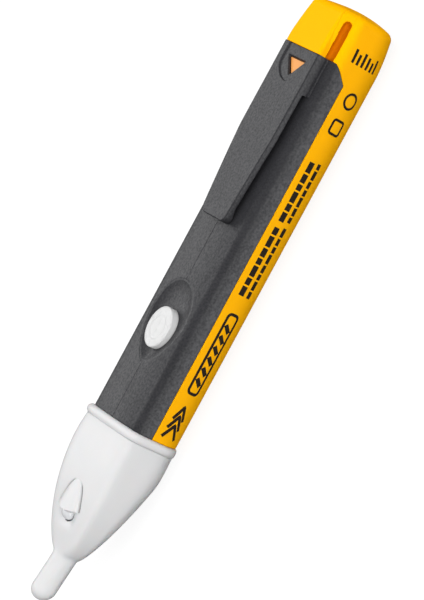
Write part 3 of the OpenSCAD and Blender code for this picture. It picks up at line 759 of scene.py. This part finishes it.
def cradle(x, cell_z):
    """A rib that holds a cell from below."""
    a = np.radians(np.linspace(24, -204, 61))
    inner = np.c_[CELL_HOLD_R * np.cos(a), cell_z + CELL_HOLD_R * np.sin(a)]
    th = np.radians(np.linspace(3.5, -183.5, 61))
    r = SEC.radius(th, 1.0)[0]
    outer = np.c_[r * np.cos(th), AXIS_Z + r * np.sin(th)]
    outer[:, 1] = np.minimum(outer[:, 1], 9.6)
    loop = np.vstack([outer, inner[::-1]])
    rings = [at_x(v, loop) for v in (x, x + 1.2)]
    return loft("rib", rings, YELLOW, ends="strip")


def lip(side):
    """The rail inside the tray's edge, which the shell slides over."""
    y1 = HALF_W - WALL - 0.1
    loop = rounded_loop([(y1 - 0.85, 9.6), (y1 + 0.4, 9.6), (y1 + 0.4, SEAM_Z - 0.15), (y1, SEAM_Z - 0.1),
                         (y1, 12.2), (y1 - 0.85, 12.2)], 0.14)
    return prism_x("lip", loop * [side, 1], SHELL_X0 + 6, CAP_X0 + 0.5, YELLOW)


def cheek(side):
    """One of the two walls that carry the latch's pin."""
    loop = rounded_loop([(4.02, 12.3), (5.75, 12.3), (5.75, 15.4), (4.02, 15.4)], 0.2)
    return prism_x("cheek", loop * [side, 1], CAP_X0 + 0.7, CAP_X0 + 4.5, YELLOW)


# ---- clip, its root block and the window

WIN_X0 = CAP_X0 - 6.9
WIN_X1 = CAP_X0 - 2.9
WIN_HALF = 3.35


def clip_half(x):
    """Half width of the blade's plan, rounded at the free end."""
    free = 4.8
    w = np.where(x > ROOT_X - 12, CLIP_HALF - 0.1 * np.clip((ROOT_X - x) / 12, 0, 1),
                 free + (CLIP_HALF - 0.1 - free) * np.clip((x - CLIP_X0) / (ROOT_X - 12 - CLIP_X0), 0, 1))
    r = 1.7
    d = np.clip(x - CLIP_X0, 0, r)
    return w - (r - np.sqrt(np.maximum(0, r * r - (r - d) ** 2)))


def clip_top(x):
    """Height of the blade's top: a slight fall to the free end and a slight bow."""
    t = np.clip((ROOT_X - x) / (ROOT_X - CLIP_X0), 0, 1)
    return CLIP_TOP - 0.15 * t + 0.19 * np.sin(math.pi * t)


def tongue_recess(x, y):
    """The shallow U-shaped sink round the window, open at the cap."""
    bottom = CAP_X0 - 8.5
    t = np.clip((CAP_X0 - 4.2 - x) / (CAP_X0 - 4.2 - bottom), 0, 1.4)
    half = 4.75 * np.maximum(0, 1 - t ** 1.9) ** 0.62
    d = half - np.abs(y)
    return 0.34 * smooth01(0.5 + d / 0.34) * np.where(x > bottom - 0.05, 1, 0)


def build_clip():
    """The blade and its root block, with the window."""
    upper, lower = 0.34, 0.22  # radii of the long edges
    thick = 1.5
    block_z = 15.75
    u = np.linspace(1, -1, 91)
    xs = unique(
        CLIP_X0 + np.array([0, 0.01, 0.04, 0.1, 0.2, 0.35, 0.55, 0.8, 1.1, 1.4, 1.7, 2.1]),
        spaced(CLIP_X0 + 2.1, ROOT_X - 1, 0.8),
        ROOT_X - np.array([1.0, 0.7, 0.45, 0.28, 0.15, 0.06, 0.012, 0.0]),
        spaced(ROOT_X, ROOT_X + 0.6, 0.2), spaced(ROOT_X + 0.6, SHELL_X1 - 0.16, 0.14),
        SHELL_X1 - np.array([0.16, 0.1, 0.05, 0.015, 0]),
    )
    rings = []
    for x in xs:
        w = clip_half(x)
        top = clip_top(x)
        end = min(edge_round(x - CLIP_X0, 0.3), 0.3) + edge_round(SHELL_X1 - x, 0.16)
        bottom = block_z
        if x < ROOT_X:
            if ROOT_X - x > 0.005:
                bottom = top - thick - edge_round(ROOT_X - x, 0.3)
            grip = float(np.clip((CLIP_X0 + 3.6 - x) / 2.0, 0, 1))
            bottom = min(bottom, top - thick - grip * (top - thick - (FRONT_Z + 0.15)))
        # Top face, then the -Y side, the underside and the +Y side
        e = min(upper, w * 0.4)
        y = (w - e) * u
        z = np.full_like(y, top) - end - tongue_recess(x, y) * (1 if x > ROOT_X - 2 else 0)
        face = np.c_[y, z]
        a = np.radians(np.linspace(0, 90, 6))[1:]
        corner = np.c_[-(w - e) - e * np.sin(a), top - end - e + e * np.cos(a)]
        low_r = lower if x < ROOT_X else 0.05
        side = np.array([[-w, top - end - e - 0.35 * (top - e - bottom)],
                         [-w, bottom + low_r + 0.25 * (top - e - bottom)]])
        a = np.radians(np.linspace(0, 90, 5))
        heel = np.c_[-(w - low_r) - low_r * np.cos(a), bottom + low_r - low_r * np.sin(a)]
        half = np.vstack([corner, side, heel])
        under = np.c_[np.linspace(-(w - low_r), w - low_r, 12)[1:-1], np.full(10, bottom)]
        loop = np.vstack([face, half, under, (half * [-1, 1])[::-1]])
        rings.append(at_x(x, loop))
    ob = loft("clip", rings, GREY, smooth=30)
    ob = cut(ob, latch_channel())
    # Window with a flared rim
    rings = []
    for z, grow in ((16.0, 0.0), (LATCH_TOP + 0.2, 0.0), (CLIP_TOP - 0.6, 0.1),
                    (CLIP_TOP - 0.34, 0.34), (CLIP_TOP + 0.6, 0.9)):
        loop = rounded_loop([(WIN_X0 - 1.2 * grow, 0), (WIN_X1 + grow, -WIN_HALF - 1.2 * grow),
                             (WIN_X1 + grow, WIN_HALF + 1.2 * grow)], 0.7, n=6)
        rings.append(at_z(loop, z))
    return cut(ob, loft("window", rings, None))


def build_flange():
    """The thin foot along both sides of the clip's root block."""
    z = SEC.at(7.2)[1]
    ends = np.array([0, 0.05, 0.15, 0.3])
    xs = unique(ROOT_X + ends, spaced(ROOT_X + 0.3, SHELL_X1 - 0.3, 1.0), SHELL_X1 - ends)
    rings = []
    for x in xs:
        back = edge_round(min(x - ROOT_X, SHELL_X1 - x), 0.25)
        loop = rounded_loop([(CLIP_HALF - 0.3, z - 0.4), (CLIP_HALF + 0.62 - back, z - 0.4),
                             (CLIP_HALF + 0.55 - back, z + 0.34 - back), (CLIP_HALF - 0.3, z + 0.5 - back)], 0.14)
        rings.append(at_x(x, loop))
    return [loft("flange", np.array(rings) * [1, side, 1], GREY) for side in (-1, 1)]


# ---- nose

# Stations s run from the probe's tip
NECK_S = 11.8
BULGE_S = 36.7
NOSE_L = SHELL_X0 - TIP_X
BEAD_W = 2.2
PROBE_R = 2.9
NECK_R = 3.2
RISE = 0.11  # how far the probe climbs, per mm ahead of the neck
BULGE_W = HALF_W + 0.5
BULGE_F = FRONT_Z + 0.5 - MID_Z
SPIGOT_TOP = 16.164


def nose_profile():
    """Half width, front height, back height and squareness of the nose, sampled along it."""
    step = 0.02
    s = np.arange(0, NOSE_L, step)
    t = np.clip((s - NECK_S) / (BULGE_S - NECK_S), 0, 1)
    swell = (1 - (1 - t) ** 2) ** 0.72
    wide = NECK_R + (BULGE_W - NECK_R) * swell
    n = 2 + 5.4 * t
    m = n / (n - 1)
    reach = ((0.6 * wide) ** m + (0.8 * (NECK_R + (BULGE_F - NECK_R) * swell)) ** m) ** (1 / m)
    # Squarer section with the same outline from the front corner
    n = 2 + 5.4 * np.minimum(1, 2.2 * t) ** 0.6
    m = n / (n - 1)
    front = (reach ** m - (0.6 * wide) ** m) ** (1 / m) / 0.8
    back = NECK_R + (MID_Z - NECK_R) * smin(t / 0.95, np.ones_like(t), 0.09)
    probe = np.where(s < PROBE_R, PROBE_R * np.sqrt(np.maximum(0, 1 - (1 - s / PROBE_R) ** 2)), PROBE_R)

    def soften(value, width):
        return np.convolve(np.pad(value, 150, mode="edge"), bell(150, width / step), mode="valid")

    rows = [s]
    for value, width in ((wide, 0.45), (front, 1.3), (back, 0.2)):
        rows.append(np.where(s < 6, probe, soften(np.where(s < NECK_S, PROBE_R, value), width)))
    return rows + [soften(n, 0.4)]


PROFILE = nose_profile()


def nose_section(s, inset=0.0):
    """Half width, front height, back height, height of the middle and the two squarenesses."""
    wide, front, back, n = (float(np.interp(s, PROFILE[0], row)) for row in PROFILE[1:])
    t = min(1, max(0, (s - NECK_S) / (BULGE_S - NECK_S)))
    back_in = 0.25 * max(0, (s - BULGE_S) / (NOSE_L - BEAD_W - BULGE_S)) ** 2 + inset
    sizes = [max(0.02, v - back_in) for v in (wide, front)] + [max(0.02, back - inset)]
    return *sizes, MID_Z + RISE * max(0, NECK_S - s), n, 2 + 0.65 * t


# The teardrop hood runs from its mouth at HOOD_S0 to its point at HOOD_S1
HOOD_S0 = 20.9
HOOD_S1 = 28.5
HOOD_HIGH = 1.9
LAMP_R = 1.95
LAMP_AT = (21.1, 14.1)  # station and height
POCKET_R = LAMP_R + 0.26
POCKET_L = 2.6


def behind_mouth(s, y):
    """0 ahead of the hood's mouth and 1 behind it."""
    return smooth01((s - HOOD_S0 - 0.07 * y ** 2) / 0.3 + 0.5)


def hood_half(t):
    """Half width of the hood, at the share t of its length from its point."""
    return 4.15 * t ** 0.36


def hood_lift(s, y):
    """How far the hood over the lamp stands out of the nose."""
    t = (HOOD_S1 - s) / (HOOD_S1 - HOOD_S0)
    if t <= 0:
        return np.zeros_like(y)
    dish = 0.75 * np.exp(-((s - 20.2) / 1.9) ** 2 - (y / 3.0) ** 4)
    front = behind_mouth(s, y)
    t = min(t, 1.0)
    half = hood_half(t)
    high = HOOD_HIGH * t ** 0.9
    q = np.abs(y) / half
    trench = 0.5 * min(1.0, 5 * t) * np.exp(-((q - 1.05) * half / 0.26) ** 2)
    return front * (high * (1 - np.clip(q, 0, 1) ** 2.6) ** 0.62 - trench) - (1 - front) * dish


def nose_ring(x, q, t, hood_s=None):
    """A ring of points in the directions t about the section's middle."""
    c, s = np.cos(t), np.sin(t)
    up = s >= 0
    n = np.where(up, q[4], q[5])
    reach = (np.abs(c) ** n + np.abs(s) ** n) ** (-1 / n)
    y = q[0] * c * reach
    z = q[3] + np.where(up, q[1], q[2]) * s * reach
    if hood_s is not None:
        z = z + np.where(up & (np.abs(y) < 4.5), hood_lift(hood_s, y), 0)
    return np.c_[np.full(len(t), x), y, z]


def crease_shade(x, y, z):
    """0 to 1, how much painted shade the nose gets at a point: in the line round the hood and in the lamp's pocket.
    """
    s = x - TIP_X
    t = (HOOD_S1 - s) / (HOOD_S1 - HOOD_S0)
    if s < NECK_S + 2 or t <= 0 or z < MID_Z:
        return 0
    half = hood_half(t)
    away = (abs(y) - 1.04 * half) / math.hypot(1, 0.36 * half / t / (HOOD_S1 - HOOD_S0))
    line = 0.9 * math.exp(-(away / 0.17) ** 2) * behind_mouth(s, y) * smooth01(5 * t)
    ahead = min(0, s - LAMP_AT[0])
    reach = math.sqrt(y * y + (z - LAMP_AT[1]) ** 2 + ahead * ahead)
    in_pocket = abs(reach - POCKET_R) < 0.03 and s < LAMP_AT[0] + POCKET_L + 0.05
    return max(line, 0.9 if in_pocket else 0)


def bullet(r, first, n, tail):
    """Profile of a round-nosed cylinder: n points from the angle first, then the (radius, height) pairs in tail."""
    return [(r * math.sin(a), -r * math.cos(a)) for a in np.radians(np.linspace(first, 90, n))] + tail


def build_nose():
    """Probe, nose, bead and the spigot inside the shell, in one skin, with the lamp's pocket."""
    # Columns crowd towards the top middle, where the hood is
    t = np.radians(np.r_[np.arange(1, 66, 2.0), np.arange(66, 114, 0.6), np.arange(114, 361, 2.0)])
    rings = []
    tip = [PROBE_R * (1 - math.cos(math.radians(a))) for a in range(6, 91, 7)]
    stations = unique(np.array(tip), spaced(PROBE_R, NECK_S - 2, 0.9),
                      spaced(NECK_S - 1.6, NECK_S + 1.6, 0.12), spaced(NECK_S + 1.9, HOOD_S0 - 0.4, 0.3),
                      spaced(HOOD_S0 - 0.3, HOOD_S0 + 1.5, 0.08), spaced(HOOD_S0 + 1.6, HOOD_S1 - 1, 0.16),
                      spaced(HOOD_S1 - 0.9, HOOD_S1 + 0.1, 0.08), spaced(HOOD_S1 + 0.5, NOSE_L - BEAD_W, 0.5))
    for s in stations:
        rings.append(nose_ring(TIP_X + s, nose_section(s), t, s))
    for a in np.radians(np.linspace(0, 180, 15)):
        grow = 0.1 + (nose_hi[1] - HALF_W - 0.11) * math.sin(a)
        q = (HALF_W + grow, FRONT_Z - MID_Z + grow, MID_Z, MID_Z, 6, 2.6)
        rings.append(nose_ring(SHELL_X0 - BEAD_W + BEAD_W / 2 * (1 - math.cos(a)), q, t))
    # Spigot, then the hollow
    for x, inset in ((0, 1.65), (5.0, 1.65), (5.15, 1.75), (5.15, 2.4), (5.0, 2.5), (-2, 2.5)):
        q = (HALF_W - inset, SPIGOT_TOP - MID_Z - inset, MID_Z - inset, MID_Z, 6, 2.4)
        rings.append(nose_ring(SHELL_X0 + x, q, t))
    hollow = [NECK_S + 1 + k * (BULGE_S - NECK_S - 1) for k in (1, 0.86, 0.72, 0.58, 0.44, 0.31, 0.2, 0.1, 0.03)]
    for s in hollow + [NECK_S - 1, 3.2]:
        rings.append(nose_ring(TIP_X + s, nose_section(s, 1.1), t))
    ob = loft("nose", rings, NOSE, smooth=38)
    profile = bullet(POCKET_R, 2, 14, [(POCKET_R, POCKET_L), (0.02, POCKET_L)])
    ob = cut(ob, lathe("pocket", (TIP_X + LAMP_AT[0], 0, LAMP_AT[1]), profile, None, n=48, axis="x"))
    # Painted shade, stored per point in the attribute crease, which the nose's material reads
    shade = ob.data.attributes.new("crease", "FLOAT", "POINT")
    for vert, item in zip(ob.data.vertices, shade.data):
        item.value = crease_shade(*(vert.co / MM))
    return ob


def build_lamp():
    """The bullet lamp that lies in the hood with its dome forward."""
    profile = bullet(LAMP_R, 1, 16, [(LAMP_R, 1.9), (LAMP_R * 0.94, 2.1), (0.02, 2.1)])
    return lathe("lamp", (TIP_X + LAMP_AT[0], 0, LAMP_AT[1]), profile, LENS, n=48, axis="x")


# ---- button

# Half axes and height of the flange's and the stem's corners
BUTTON_ROWS = [(5.65, 4.8, 13.97), (5.65, 4.8, 14.42), (5.5, 4.65, 14.5), (4.97, 4.12, 14.5)]
BUTTON_EDGE = 0.28
BUTTON_RELIEF = 0.1
BUTTON_DOME = 0.12


def build_button():
    """The oval button with its flange, a faint dome and an embossed ring, ticks and bar."""
    n = 96
    rings = []
    wide, deep = BUTTON_ROWS[-1][:2]
    shoulder = BUTTON_TOP + 0.15 - BUTTON_DOME
    rows = list(BUTTON_ROWS)
    for a in np.radians(np.linspace(0, 90, 7)):
        back = BUTTON_EDGE * (1 - math.cos(a))
        rows.append((wide - back, deep - back, shoulder - BUTTON_EDGE * (1 - math.sin(a))))
    for a, b, z in rows:
        rings.append(at_z(oval(a, b, n) + [BUTTON_X, 0], z))
    for k in np.linspace(0.985, 0.02, 40):
        p = oval(wide - BUTTON_EDGE, deep - BUTTON_EDGE, n) * k
        ring = math.exp(-((k - 0.62) / 0.05) ** 2)
        angle = np.arctan2(p[:, 1] / 3.7, p[:, 0] / 4.55)
        ticks = np.exp(-((k - 0.84) / 0.07) ** 2) * smooth01((np.cos(angle * 10) - 0.4) / 0.3)
        bar = math.exp(-((k - 0.3) / 0.22) ** 4) * smooth01((0.35 - np.abs(p[:, 1])) / 0.2)
        z = shoulder + BUTTON_DOME * (1 - k ** 2) + BUTTON_RELIEF * (np.minimum(ring + ticks + bar, 1) - 1)
        rings.append(np.c_[p + [BUTTON_X, 0], z])
    return loft("button", rings, WHITE, smooth=40)


# ---- print on the -Y flank

def ribbon(points, width, closed=False):
    """A stroke on the flank. points are (x, d): along the body, and from the seam round the back."""
    pts = np.asarray(points, float)
    if closed:
        pts = np.vstack([pts, pts[:1]])
    d = np.r_[0, np.cumsum(np.linalg.norm(np.diff(pts, axis=0), axis=1))]
    n = max(2, int(d[-1] / 0.25) + 1)
    at = unique(np.linspace(0, d[-1], n), d)
    p = np.c_[np.interp(at, d, pts[:, 0]), np.interp(at, d, pts[:, 1])]
    if closed:
        p = p[:-1]
        t = np.roll(p, -1, axis=0) - np.roll(p, 1, axis=0)
    else:
        t = np.gradient(p, at, axis=0)
    t /= np.linalg.norm(t, axis=1)[:, None] + 1e-12
    side = np.c_[-t[:, 1], t[:, 0]]
    lanes = np.linspace(-0.5, 0.5, max(3, int(width / 0.4) + 2))
    return np.array([p + side * (lane * width) for lane in lanes]), closed


S_SEAM = SEC.s_at_z(SEAM_Z)
INK_OUT, INK_IN = 0.022, -0.05  # faces of the print, from the flank's surface


def on_flank(x, d, out):
    """Points on the -Y flank at station x and distance d below the seam, lifted by out."""
    p = SEC.at(-(S_SEAM + d), np.vectorize(cap_taper)(x) - out)
    return np.stack([x, p[..., 0], p[..., 1]], axis=-1)


def print_marks(name, strokes):
    """All strokes as thin closed slabs in one mesh."""
    verts, faces = [], []
    for grid, closed in strokes:
        m, n = grid.shape[:2]
        top = sum(len(v) for v in verts) + np.arange(m * n).reshape(m, n)
        for out in (INK_OUT, INK_IN):
            verts.append(on_flank(grid[..., 0], grid[..., 1], out).reshape(-1, 3))
        faces += skin(top, closed) + skin(top + m * n, closed)
        if closed:
            rims = [top[0], top[-1]]
        else:
            rims = [np.r_[top[0, :], top[1:, -1], top[-1, -2::-1], top[-2:0:-1, 0]]]
        for rim in rims:
            faces += strip(rim, rim + m * n, closed=True)
    return mesh_object(name, np.vstack(verts), faces, INK)


def frame_stroke(x0, x1, d0, d1, r, width):
    """A rounded rectangular outline, from station x0 to x1."""
    corners = [(TIP_X + x, d) for x, d in ((x0, d0), (x1, d0), (x1, d1), (x0, d1))]
    return ribbon(rounded_loop(corners, r, n=6), width, closed=True)


def bar_row(d, width, lengths, gap, count, wide_at, wide_gap):
    """A row of bars of repeating lengths, with one wider gap after bar wide_at."""
    strokes = []
    x = TIP_X + 82.0
    for k in range(count):
        length = lengths[k % len(lengths)]
        if x + length > TIP_X + 117.4:
            break
        strokes.append(ribbon([(x, d), (x + length, d)], width))
        x += length + (wide_gap if k == wide_at else gap)
    return strokes


def build_print():
    """Generic marks where the object has its print."""
    strokes = []
    # Three nested chevrons near the tip
    for k in range(3):
        x0 = TIP_X + 46.2 + 2.3 * k
        half = 2.15 - 0.25 * k
        strokes.append(ribbon([(x0, 3.85 - half), (x0 + 3.3, 3.85), (x0, 3.85 + half)], 0.85))
    # A long rounded frame with slanted bars in it
    strokes.append(frame_stroke(57.5, 77.4, 2.25, 5.45, 1.1, 0.7))
    for k in range(6):
        x0 = TIP_X + 59.6 + 2.7 * k
        strokes.append(ribbon([(x0, 4.75), (x0 + 1.6, 2.95)], 1.15))
    strokes += bar_row(2.55, 1.55, (2.3, 1.7, 2.6, 1.5, 2.1, 2.6, 1.8), 0.42, 15, 6, 1.5)
    strokes += bar_row(4.95, 1.2, (1.7, 2.2, 1.4, 1.9, 2.3, 1.5), 0.4, 18, 7, 1.4)
    # Ring and square
    a = np.radians(np.linspace(0, 350, 40))
    ring = np.c_[TIP_X + 131.3 + 1.75 * np.cos(a), 3.9 + 1.75 * np.sin(a)]
    strokes.append(ribbon(ring, 0.6, closed=True))
    strokes.append(frame_stroke(123.1, 126.4, 2.25, 5.55, 0.7, 0.6))
    # Short bars across the cap
    for k, size in enumerate((3.3, 2.5, 3.3, 2.9, 2.2, 3.3)):
        x0, d = TIP_X + 139.0, -1.1 + k * 1.42
        strokes.append(ribbon([(x0, d), (x0 + size, d)], 0.72))
    return strokes


# ---- build and hang on the frame

# Each piece with the body it rides on, the CAD node it replaces and its material slot
for piece, body, node, slot in (
        (build_shell(), "body", "front_shell", "grey_plastic"),
        (build_tray(), "tray", "battery_tray", "yellow_plastic"),
        (join("clip", [build_clip()] + build_flange()), None, "pocket_clip", "grey_plastic"),
        (build_nose(), "body", "nose_cone", "nose_plastic"),
        (build_lamp(), "body", "torch_led", "clear_lens"),
        (build_button(), "button", "push_button", "button_plastic"),
        (print_marks("print_marks", build_print()), "tray", None, "black_plastic")):
    if body:
        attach(piece, body)
    else:
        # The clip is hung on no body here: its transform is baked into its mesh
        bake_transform(piece)
    if node:
        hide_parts(node)

# CAD nodes that are shown as they are: material, and width in mm of the softened edges
PLAIN = {
    "latch_tab": (LATCH_SHADED_YELLOW, 0.22), "switch_plunger": (BLACK, 0.12), "tact_switch": (STEEL, 0.08),
    "circuit_board": (BOARD, 0.06), "controller_chip": (CHIP, 0.05), "board_passives": (PASSIVE, 0.04),
    "board_screws": (STEEL, 0.05), "buzzer": (BLACK, 0.25), "torch_led_leads": (TIN, 0),
    "indicator_led": (RED, 0.05), "indicator_led_leads": (TIN, 0), "sensor_probe": (BRASS, 0.08),
    "sensor_lead": (JACKET, 0), "front_contact": (BRASS, 0.05), "contact_finger": (BRASS, 0.05),
    "battery_studs": (STEEL, 0.1), "cap_spring": (STEEL, 0), "return_strip": (BRASS, 0.05),
    "battery_front": (None, 0.2), "battery_rear": (None, 0.2),
}
for node, (mat, soft) in PLAIN.items():
    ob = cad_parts[node]
    if mat is None:
        lo, hi = box_mm(node)
        mat = cell_material(node + "_sleeve", lo[0], hi[0])
    ob.data.materials.clear()
    ob.data.materials.append(mat)
    if soft:
        bevel = ob.modifiers.new("soft", "BEVEL")
        bevel.width = soft * MM
        bevel.segments = 2
        bevel.limit_method = "ANGLE"
        bevel.angle_limit = math.radians(40)


# ---- floor, light and camera

FLOOR_HALF = 6.0
FLOOR_Z = -2e-5


def floor():
    """A pale glowing table that neither lights nor mirrors in the object."""
    corners = [(x * FLOOR_HALF, y * FLOOR_HALF, FLOOR_Z) for x, y in ((-1, -1), (1, -1), (1, 1), (-1, 1))]
    me = bpy.data.meshes.new("floor")
    me.from_pydata(corners, [], [(0, 1, 2, 3)])
    ob = bpy.data.objects.new("floor", me)
    bpy.context.collection.objects.link(ob)
    pale = material("floor_pale", (0.16, 0.16, 0.16), 0.8, spec=0.0, mottle=0.004)
    shader = pale.node_tree.nodes["Principled BSDF"].inputs
    shader["Emission Color"].default_value = (1, 1, 1, 1)
    shader["Emission Strength"].default_value = 0.88
    me.materials.append(pale)
    ob.visible_diffuse = False
    ob.visible_glossy = False
    ob.visible_shadow = False


def softbox(name, where, aim, size, power):
    """A rectangular area light at where, turned to aim."""
    light = bpy.data.lights.new(name, "AREA")
    light.shape = "RECTANGLE"
    light.size, light.size_y = size
    light.energy = power
    ob = bpy.data.objects.new(name, light)
    ob.location = where
    ob.rotation_euler = (Vector(aim) - Vector(where)).to_track_quat("-Z", "Y").to_euler()
    bpy.context.collection.objects.link(ob)
    return ob


floor()
softbox("back", (0.0, 1.05, 0.72), (0, 0, 0.01), (0.95, 0.75), 6.4)
softbox("side", (0.0, -1.2, 0.34), (0, 0, 0.01), (2.2, 0.5), 8)
# Fills that light the colours but make no highlight
for name, where, aim, size, power in (
        ("fill", (0.0, -0.2, 1.4), (0, 0, 0), (2.4, 2.0), 22),
        ("fill_side", (0.0, -1.2, 0.4), (0, 0, 0.01), (2.2, 0.7), 7),
        ("fill_tip", (-1.2, 0.1, 0.7), (-0.05, 0, 0.01), (0.8, 0.8), 2.5),
        ("fill_end", (1.2, -0.2, 0.35), (0.07, 0, 0.01), (0.8, 0.8), 5)):
    softbox(name, where, aim, size, power).visible_glossy = False
# Sheen from under the pale table, which the -Y side mirrors
softbox("sheen", (0.0, -0.8, -0.62), (0, 0, 0.01), (2.2, 0.9), 16).visible_diffuse = False

# A white sky that is much dimmer in reflections
world = bpy.data.worlds.new("studio")
world.use_nodes = True
tree = world.node_tree
sky = tree.nodes["Background"]
sky.inputs["Color"].default_value = (1, 1, 1, 1)
rays = add_node(tree, "LightPath")
tree.links.new(mapped(tree, rays.outputs["Is Glossy Ray"], 0, 1, 0.18, 0.03), sky.inputs["Strength"])
bpy.context.scene.world = world
bpy.context.scene.view_settings.view_transform = "Standard"

# The photograph's view: tipped down from the front face, and rolled
CAMERA_TILT = math.radians(53)
CAMERA_ROLL = math.radians(28.42)
CAMERA_AWAY = 0.775
TARGET = Vector((0.00278, 0, 0.00736))
toward = Vector((0.035, -math.sin(CAMERA_TILT), math.cos(CAMERA_TILT))).normalized()
along = (Vector((1, 0, 0)) - toward.x * toward).normalized()
across = toward.cross(along)
right = along * math.sin(CAMERA_ROLL) - across * math.cos(CAMERA_ROLL)
up = along * math.cos(CAMERA_ROLL) + across * math.sin(CAMERA_ROLL)
camera = bpy.data.cameras.new("camera")
camera.lens = 207
camera.sensor_width = 36
camera.clip_start = 0.01
camera.clip_end = 20
cam = bpy.data.objects.new("camera", camera)
turn = Matrix((right, up, toward)).transposed().to_4x4()
cam.matrix_world = Matrix.Translation(TARGET + toward * CAMERA_AWAY) @ turn
bpy.context.collection.objects.link(cam)
bpy.context.scene.camera = cam
